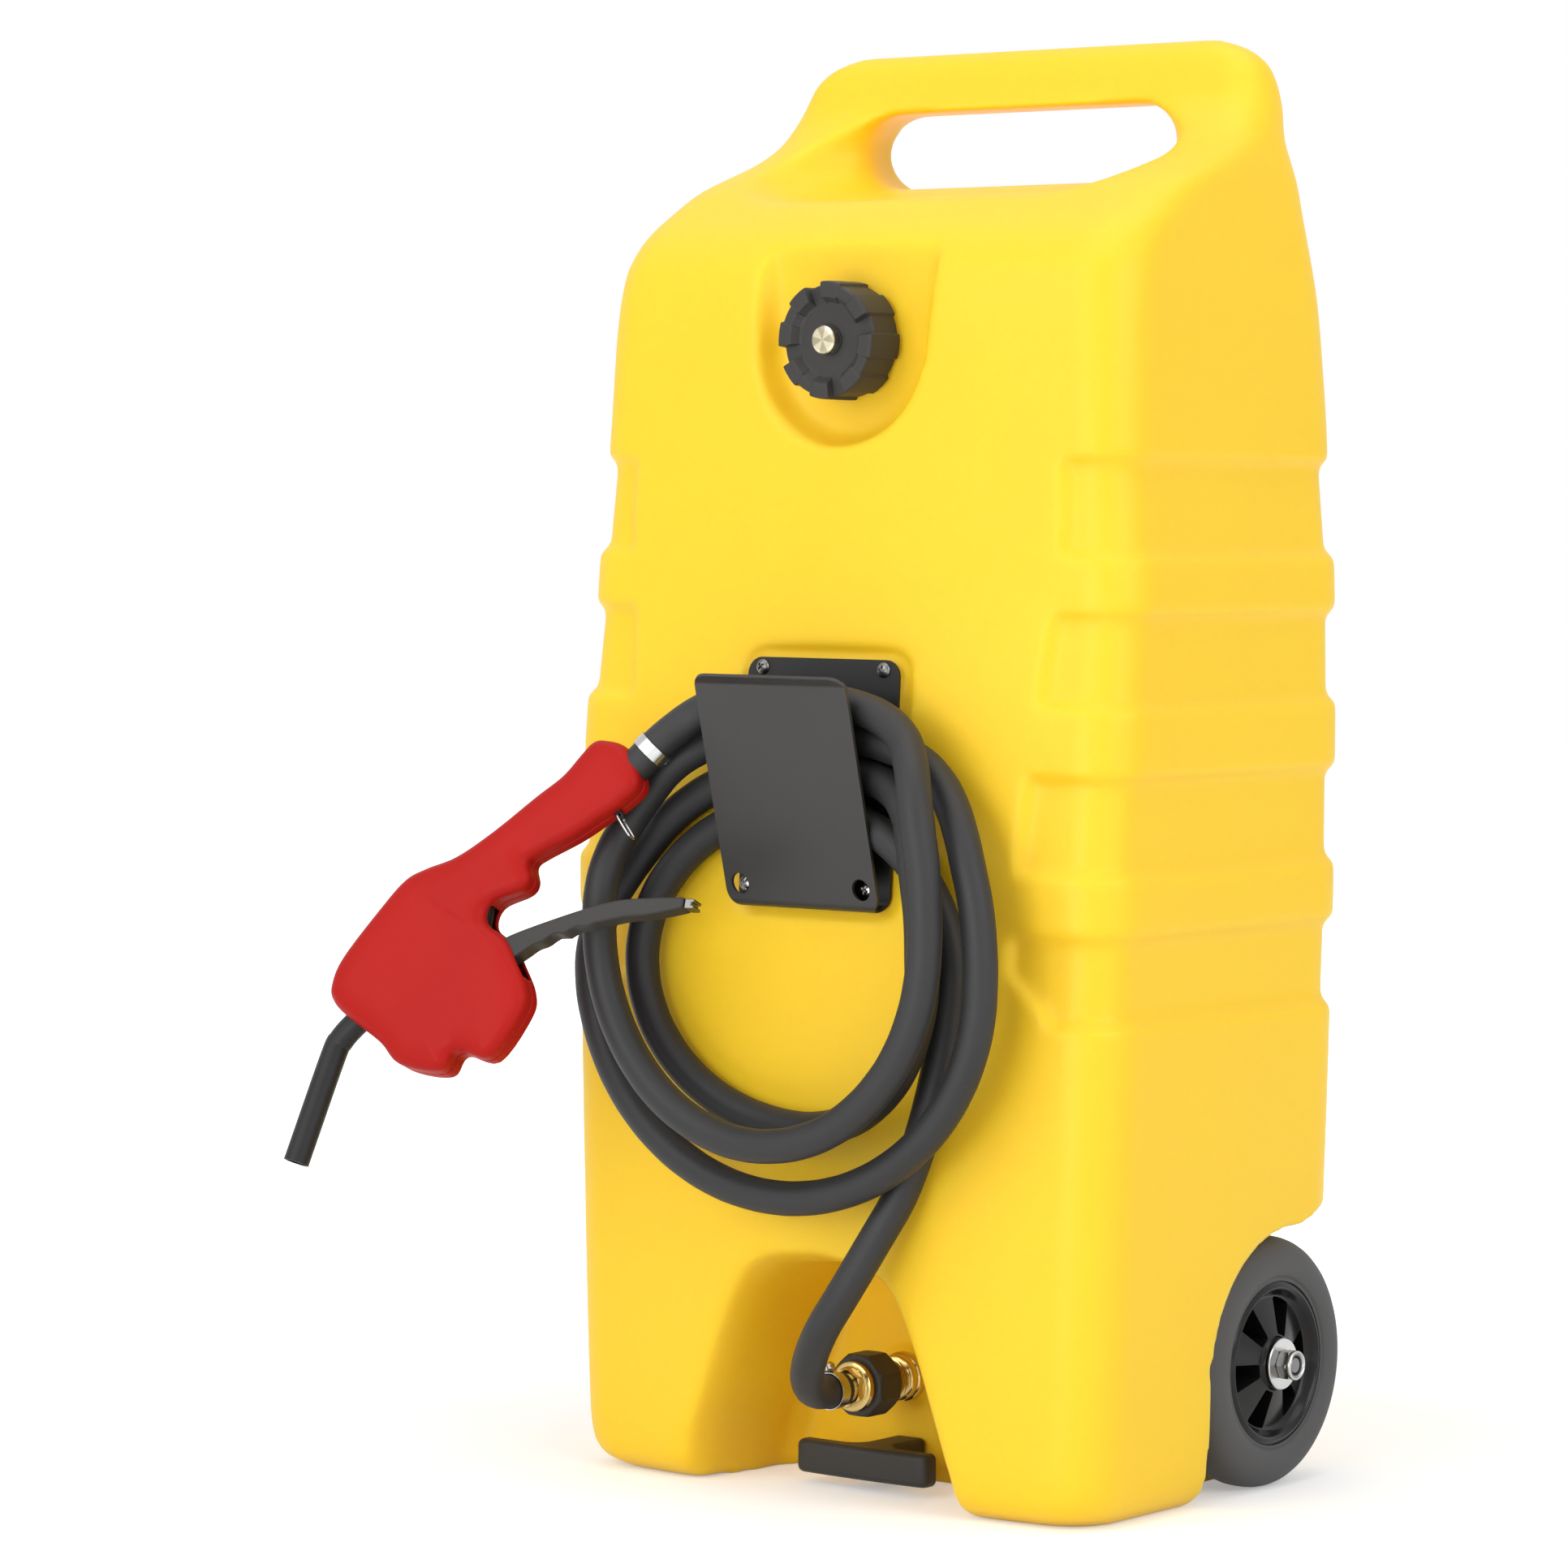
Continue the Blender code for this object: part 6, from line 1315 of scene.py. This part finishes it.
def collar_mesh(low):
    """The nut's round collar, with its nylon insert showing inside it."""
    outer, top = NUT_FLATS / 2 + 0.0010, low + NUT_DEPTH * COLLAR_SHARE
    profile = [(AXLE_RADIUS + GAP / 2, top - 0.0018), (outer - 0.0023, top - 0.0014), (outer - 0.0020, top - 0.0005),
               (outer - 0.0014, top), (outer - 0.0006, top - 0.0002), (outer, top - 0.0010), (outer, low + 0.0008),
               (outer - 0.0008, low), (AXLE_RADIUS + GAP / 2, low)]
    return turned(profile, 64, closed=True)


half_tyre = TYRE_WIDTH / 2
for word, side, facing in (("right", 1, FACING_RIGHT), ("left", -1, FACING_LEFT)):
    place = Matrix.Translation((side * (WHEEL_FACE - half_tyre), AXLE_Y, WHEEL_RADIUS)) @ facing
    add_piece(f"solid_tyre_{word}", tyre_mesh(), "tyre", f"wheel_{word}", place, [f"tyre_{word}"])
    add_piece(f"dished_rim_{word}", rim_mesh(), "rim_plastic", f"wheel_{word}", place, [f"rim_{word}"])
    level = -half_tyre - GAP - WHEEL_PLAY - WASHER_THICKNESS
    add_piece(f"back_washer_{word}", washer_mesh(level), "zinc", "caddy", place, [f"inner_washer_{word}"])
    level = half_tyre + WHEEL_PLAY
    add_piece(f"front_washer_{word}", washer_mesh(level), "zinc", "caddy", place, [f"outer_washer_{word}"])
    level += WASHER_THICKNESS + GAP
    top = level + NUT_DEPTH * HEXAGON_SHARE
    nut = nut_mesh(AXLE_RADIUS + GAP, NUT_FLATS / math.sqrt(3), 6, level, top, 0.0010, 0.0003)
    add_piece(f"hex_nut_{word}", nut, "worn_zinc", "caddy", place, [f"axle_nut_{word}"])
    add_piece(f"lock_collar_{word}", collar_mesh(top + GAP), "nylon_in_zinc", "caddy", place, [f"nut_collar_{word}"])
print("wheels made")

# %% [markdown]
# The axle is a plain steel bar with threaded ends. Its chamfered end shows just inside the nut's
# nylon ring, so it is drawn a little shorter than the bar that carries it.

# %% Axle
AXLE_END, AXLE_CHAMFER = 0.0018, 0.0012
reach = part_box("axle")[1].x - AXLE_END


def axle_mesh(half):
    profile = [(0, half), (AXLE_RADIUS - AXLE_CHAMFER, half), (AXLE_RADIUS, half - AXLE_CHAMFER), (AXLE_RADIUS, 0)]
    return turned(profile + [(radius, -height) for radius, height in reversed(profile[:-1])], 48)


add_piece("axle_bar", axle_mesh(reach), "dull_steel", stands_for=["axle"],
          place=Matrix.Translation((0, AXLE_Y, WHEEL_RADIUS)) @ FACING_RIGHT)
print("axle reaches", round(reach, 4), "m from the middle")

# %% [markdown]
# The nozzle's cover is soft red plastic in two halves. Its outline is drawn in the nozzle's own
# plane and smoothed. Each half is built with a quarter-round shoulder and hollowed, then remeshed
# and smoothed like the tank, because a dipped cover has no crisp edge anywhere. Last, its thickness
# is let down towards the outline, which turns the flat slab into a pillow.

# %% Nozzle cover
COVER_LENGTH, COVER_HALF, GRIP_HALF, COVER_WALL, COVER_ROUND = 0.250, 0.0185, 0.0160, 0.0028, 0.0065
COVER_FALL, COVER_FALL_WIDTH, COVER_VOXEL, QUICK_COVER_VOXEL = 0.24, 0.020, 0.0010, 0.0014
COVER_OUTLINE = (
    (-0.100, 0.048), (-0.027, 0.026), (0.028, -0.067), (-0.011, -0.127), (-0.085, -0.183), (-0.152, -0.232),
    (-0.249, -0.288), (-0.275, -0.312), (-0.261, -0.358), (-0.280, -0.394), (-0.362, -0.433), (-0.369, -0.492),
    (-0.304, -0.536), (-0.262, -0.593), (-0.214, -0.672), (-0.214, -0.742), (-0.290, -0.873), (-0.395, -0.862),
    (-0.434, -0.922), (-0.566, -0.910), (-0.640, -0.851), (-0.762, -0.780), (-0.809, -0.742), (-0.825, -0.700),
    (-0.805, -0.616), (-0.710, -0.463), (-0.648, -0.380), (-0.587, -0.344), (-0.498, -0.306), (-0.399, -0.231),
    (-0.285, -0.123), (-0.212, -0.059), (-0.166, 0.004), (-0.136, 0.040))
LEVER_PIVOT, LEVER_HALF, PIN_RADIUS = (-0.118, -0.160), 0.0080, 0.0025
SWIVEL_RADIUS, SWIVEL_LENGTH = 0.0098, 0.0175
SPOUT_RADIUS, SPOUT_BORE = 0.0091, 0.0076
SPOUT_ROUTE = ((-0.1803, -0.1906), (-0.1900, -0.2010), (-0.1970, -0.2110), (-0.2010, -0.2230), (-0.2150, -0.3000))


def cover_half(u):
    """Half thickness of the cover, thinner along the grip."""
    return GRIP_HALF + (COVER_HALF - GRIP_HALF) * float(ease((-u - 0.060) / 0.050))


def cover_outline():
    return smooth_closed([(u * COVER_LENGTH, w * COVER_LENGTH) for u, w in COVER_OUTLINE], 5)


def cover_shell(side, shrink, seam, rounding):
    outline = cover_outline()
    rings = [[(u, side * seam, w) for u, w in inset(outline, shrink)]]
    for angle in np.radians(np.linspace(0, 90, 6)):
        sink, drop = rounding * (1 - math.cos(angle)), rounding * (1 - math.sin(angle))
        rings.append([(u, side * (cover_half(u) - drop - shrink), w) for u, w in inset(outline, shrink + sink)])
    return loft(rings)


def cover_mesh(side):
    slot = block((0.062, 2 * LEVER_HALF + 0.003, 0.050), (-0.080, 0, -0.135))
    rear = tube([entry_point(-SWIVEL_LENGTH), entry_point(SWIVEL_LENGTH)], HOSE_RADIUS + GAP)
    mouth = tube([(SPOUT_ROUTE[0][0] + 0.02, 0, SPOUT_ROUTE[0][1] + 0.022),
                  (SPOUT_ROUTE[1][0] - 0.006, 0, SPOUT_ROUTE[1][1] - 0.009)], SPOUT_RADIUS + 0.0008)
    inside = cover_shell(side, COVER_WALL, -0.004, COVER_ROUND * 0.5)
    solid = carved(cover_shell(side, 0, GAP / 2, COVER_ROUND), [inside])
    return crowned(rolled(carved(solid, [slot, rear, mouth]), COVER_VOXEL, 5))


def crowned(mesh):
    """The cover is a pillow: its thickness falls off towards its outline."""
    outline = np.array(cover_outline())
    spots = np.empty(len(mesh.vertices) * 3)
    mesh.vertices.foreach_get("co", spots)
    spots = spots.reshape(-1, 3)
    flat, nearest = spots[:, (0, 2)], np.full(len(spots), 1.0)
    for start, end in zip(outline, np.roll(outline, -1, axis=0)):
        side = end - start
        share = np.clip((flat - start) @ side / (side @ side), 0, 1)
        nearest = np.minimum(nearest, np.linalg.norm(flat - start - share[:, None] * side, axis=1))
    spots[:, 1] *= 1 - COVER_FALL * (1 - np.clip(nearest / COVER_FALL_WIDTH, 0, 1)) ** 2
    mesh.vertices.foreach_set("co", spots.ravel())
    mesh.update()
    return mesh


for word, side in (("front", -1), ("back", 1)):
    mesh = cover_mesh(side)
    add_piece(f"soft_cover_{word}", mesh, "red_cover", place=NOZZLE, stands_for=[f"cover_{word}"])
    print("cover", word, len(mesh.polygons), "faces")

# %% [markdown]
# The lever is a moulded bar with shallow finger waves below and a steel tip. Its outline is drawn
# flat and thickened, and its long edges are rounded so that it feels soft in the hand.

# %% Lever
WAVE_FROM, WAVE_SPAN, WAVE_LENGTH, WAVE_DEPTH = -0.062, 0.058, 0.017, 0.0014
LEVER = NOZZLE @ Matrix.Translation((LEVER_PIVOT[0], 0, LEVER_PIVOT[1]))


def lever_outline():
    u, w = LEVER_PIVOT
    hub = [(u + 0.0075 * math.cos(a), w + 0.0075 * math.sin(a)) for a in np.radians(np.linspace(100, 280, 13))]
    top = [(-0.1030, -0.1505), (-0.0900, -0.1425), (-0.0770, -0.1326), (-0.0540, -0.1225), (-0.0185, -0.1093),
           (0.0056, -0.1025), (0.0302, -0.0998), (0.0560, -0.0982)]
    bottom = [(-0.0850, -0.1600), (-0.0640, -0.1440), (-0.0500, -0.1345), (-0.0276, -0.1250), (0.0084, -0.1150),
              (0.0300, -0.1120), (0.0560, -0.1060)]
    under = []
    for x, y in smooth_open(bottom, 6):
        grip = math.sin(max(min((x - WAVE_FROM) / WAVE_SPAN, 1), 0) * math.pi) * WAVE_DEPTH
        under.append((x, y + grip * math.sin((x - WAVE_FROM) * 2 * math.pi / WAVE_LENGTH)))
    return hub + under + list(reversed(smooth_open(top, 6)))


def lever_mesh():
    flat = [(u - LEVER_PIVOT[0], -(w - LEVER_PIVOT[1])) for u, w in lever_outline()]
    bar = softened(prism(flat, -LEVER_HALF, LEVER_HALF), 0.0020, 4, 45)
    moved(bar, Matrix.Rotation(math.radians(-90), 4, "X"))
    return carved(bar, [moved(rod(PIN_RADIUS + GAP, -0.02, 0.02), FACING_FRONT)])


add_piece("trigger", lever_mesh(), "black_plastic", "lever", LEVER, ["lever"])
tip_x, tip_z = 0.0598 - LEVER_PIVOT[0], -0.1025 - LEVER_PIVOT[1]
notch = block((0.004, 0.02, 0.0022), (tip_x + 0.0035, 0, tip_z))
tip = softened(carved(block((0.007, 0.012, 0.0068), (tip_x, 0, tip_z)), [notch]), 0.0007, 3)
add_piece("trigger_tip", tip, "dull_steel", "lever", LEVER, ["lever_tip"])
print("lever made")

# %% [markdown]
# Three metal pieces finish the nozzle. The latch that holds the lever up is a loop of thin wire,
# which is a closed curve with a round section. The ferrule where the hose turns is a turned shape,
# and the spout is a tube along a bent line with a second tube cut out of it, so that it is open.

# %% Latch, swivel and spout
LATCH_PIVOT, LATCH_WIRE = (-0.0076, -0.0404), 0.0007


def latch_mesh():
    half = [(0, 0.0040, 0), (0.0018, 0.0058, -0.0030), (0.0105, 0.0054, -0.0132), (0.0122, 0.0026, -0.0152)]
    loop = [(0, -0.0040, 0)] + half + [(x, -y, z) for x, y, z in reversed(half[1:])]
    return tube(smooth_closed(loop, 5), LATCH_WIRE, 4, cyclic=True)


LATCH = NOZZLE @ Matrix.Translation((LATCH_PIVOT[0], 0, LATCH_PIVOT[1]))
add_piece("wire_latch", latch_mesh(), "zinc", "latch", LATCH, ["hold_latch"])


def swivel_mesh():
    """A plated ferrule with two rings, where the hose turns in the nozzle."""
    long = SWIVEL_LENGTH - GAP
    profile = [(0, long), (0.0090, long)]
    for base in (0.0110, 0.0060):
        profile += [(SWIVEL_RADIUS, base + 0.0030), (SWIVEL_RADIUS, base + 0.0008), (0.0090, base)]
    return turned(profile + [(SWIVEL_RADIUS, 0.0030), (SWIVEL_RADIUS, 0.0004), (0.0094, 0), (0, 0)], 64)


into = (Vector(entry_point(-1)) - Vector(entry_point(0))).normalized()
place = NOZZLE @ Matrix.Translation(entry_point(-GAP)) @ into.to_track_quat("Z", "Y").to_matrix().to_4x4()
add_piece("swivel", swivel_mesh(), "zinc", place=place, stands_for=["nozzle_swivel"])


def spout_mesh():
    route = smooth_open([(u, 0, w) for u, w in SPOUT_ROUTE], 6)
    outer = tube(route, SPOUT_RADIUS, 10)
    end = Vector(route[-1])
    beyond = end + (end - Vector(route[-2])).normalized() * 0.01
    start = Vector(route[0]) + (Vector(route[1]) - Vector(route[0])).normalized() * 0.008
    inner = [tuple(start)] + route[4:-1] + [tuple(beyond)]
    return softened(carved(outer, [tube(inner, SPOUT_BORE, 8)]), 0.0003, 2, 35)


add_piece("spout", spout_mesh(), "dark_metal", place=NOZZLE, stands_for=["nozzle_spout"])
print("nozzle made")

# %% [markdown]
# What is left of the frame is small and mostly hidden: seals, the locknut inside the tank and the
# valve parts in the nozzle. Their plain solids are right as they are, so they only get finishes.

# %% Finishes for the remaining solids
KEPT = {"cap_gasket": "rubber", "outlet_seal": "rubber", "outlet_locknut": "brass",
        "nozzle_casting": "dark_metal", "packing_nut": "brass", "valve_stem": "brass", "lever_pin": "zinc"}
for name, look in KEPT.items():
    node = frame["nodes"][name]
    node.data.materials.clear()
    node.data.materials.append(FINISHES[look])
print("kept solids:", len(KEPT))

# %% [markdown]
# The setting. A pale floor and a white world stand in for a studio sweep. Camera, mirror and
# glass rays see pure white, and the light that falls on the caddy is set lower, so that its yellow
# renders as written. The floor's own material adds white for the camera, more of it further from
# the caddy, so the shadow stays and the floor's edge is lost in the background. Three large lamps
# give the soft daylight of a studio, and a small one near the floor reaches into the alcove.

# %% Floor and world
AMBIENT, FLOOR_LIFT, FLOOR_REACH = 0.53, 0.32, 9
FADE_START, FADE_RATE, FADE_SHARE = 0.45, 0.9, 0.6


def white_for_camera(tree):
    """1 where a ray from the camera, a mirror or a glass surface looks."""
    rays = tree.nodes.new("ShaderNodeLightPath")
    seen = math_node(tree, "MAXIMUM", rays.outputs["Is Camera Ray"], rays.outputs["Is Glossy Ray"])
    return math_node(tree, "MAXIMUM", seen, rays.outputs["Is Transmission Ray"])


def make_world(ambient):
    world = bpy.data.worlds.new("studio")
    bpy.context.scene.world = world
    world.use_nodes = True
    tree = world.node_tree
    soft = tree.nodes["Background"]
    soft.inputs["Color"].default_value = (1.0, 0.995, 0.985, 1.0)
    soft.inputs["Strength"].default_value = ambient
    white = tree.nodes.new("ShaderNodeBackground")
    white.inputs["Color"].default_value = (1, 1, 1, 1)
    white.inputs["Strength"].default_value = 1.0
    mix = tree.nodes.new("ShaderNodeMixShader")
    tree.links.new(white_for_camera(tree), mix.inputs[0])
    tree.links.new(soft.outputs[0], mix.inputs[1])
    tree.links.new(white.outputs[0], mix.inputs[2])
    tree.links.new(mix.outputs[0], tree.nodes["World Output"].inputs["Surface"])


def make_floor(lift):
    shape = bmesh.new()
    bmesh.ops.create_grid(shape, x_segments=4, y_segments=4, size=FLOOR_REACH)
    floor = shown("floor", finish_mesh(shape))
    material = bpy.data.materials.new("pale_floor")
    material.use_nodes = True
    tree = material.node_tree
    tree.nodes.remove(tree.nodes["Principled BSDF"])
    matt = tree.nodes.new("ShaderNodeBsdfDiffuse")
    matt.inputs["Color"].default_value = (0.86, 0.86, 0.86, 1)
    glow = tree.nodes.new("ShaderNodeEmission")
    place = tree.nodes.new("ShaderNodeVectorMath")
    place.operation = "LENGTH"
    tree.links.new(tree.nodes.new("ShaderNodeNewGeometry").outputs["Position"], place.inputs[0])
    beyond = math_node(tree, "SUBTRACT", place.outputs["Value"], FADE_START)
    away = math_node(tree, "MULTIPLY", beyond, FADE_RATE, clamp=True)
    rising = math_node(tree, "ADD", math_node(tree, "MULTIPLY", away, FADE_SHARE), lift)
    strength = math_node(tree, "MULTIPLY", white_for_camera(tree), rising)
    tree.links.new(strength, glow.inputs["Strength"])
    both = tree.nodes.new("ShaderNodeAddShader")
    tree.links.new(matt.outputs[0], both.inputs[0])
    tree.links.new(glow.outputs[0], both.inputs[1])
    tree.links.new(both.outputs[0], tree.nodes["Material Output"].inputs["Surface"])
    floor.data.materials.append(material)


make_world(AMBIENT)
make_floor(FLOOR_LIFT)
print("floor and world made")

# %% Lights
LAMPS = (("front", (-0.9, -3.4, 2.3), 0.5, 2.6, 44), ("right", (3.4, -0.8, 1.9), 0.5, 2.4, 46),
         ("top", (0.2, -0.3, 3.4), 0.5, 2.6, 31), ("low front", (0.3, -2.2, 0.42), 0.10, 0.9, 11))


def soft_light(name, position, aim_height, size, power):
    lamp = bpy.data.lights.new(name, "AREA")
    lamp.shape, lamp.size, lamp.energy = "SQUARE", size, power
    light = shown(name, lamp)
    light.location = position
    light.rotation_euler = (Vector((0, 0, aim_height)) - Vector(position)).to_track_quat("-Z", "Y").to_euler()


for lamp in LAMPS:
    soft_light(*lamp)
bpy.context.scene.view_settings.view_transform = "Standard"
print("lamps:", [lamp[0] for lamp in LAMPS])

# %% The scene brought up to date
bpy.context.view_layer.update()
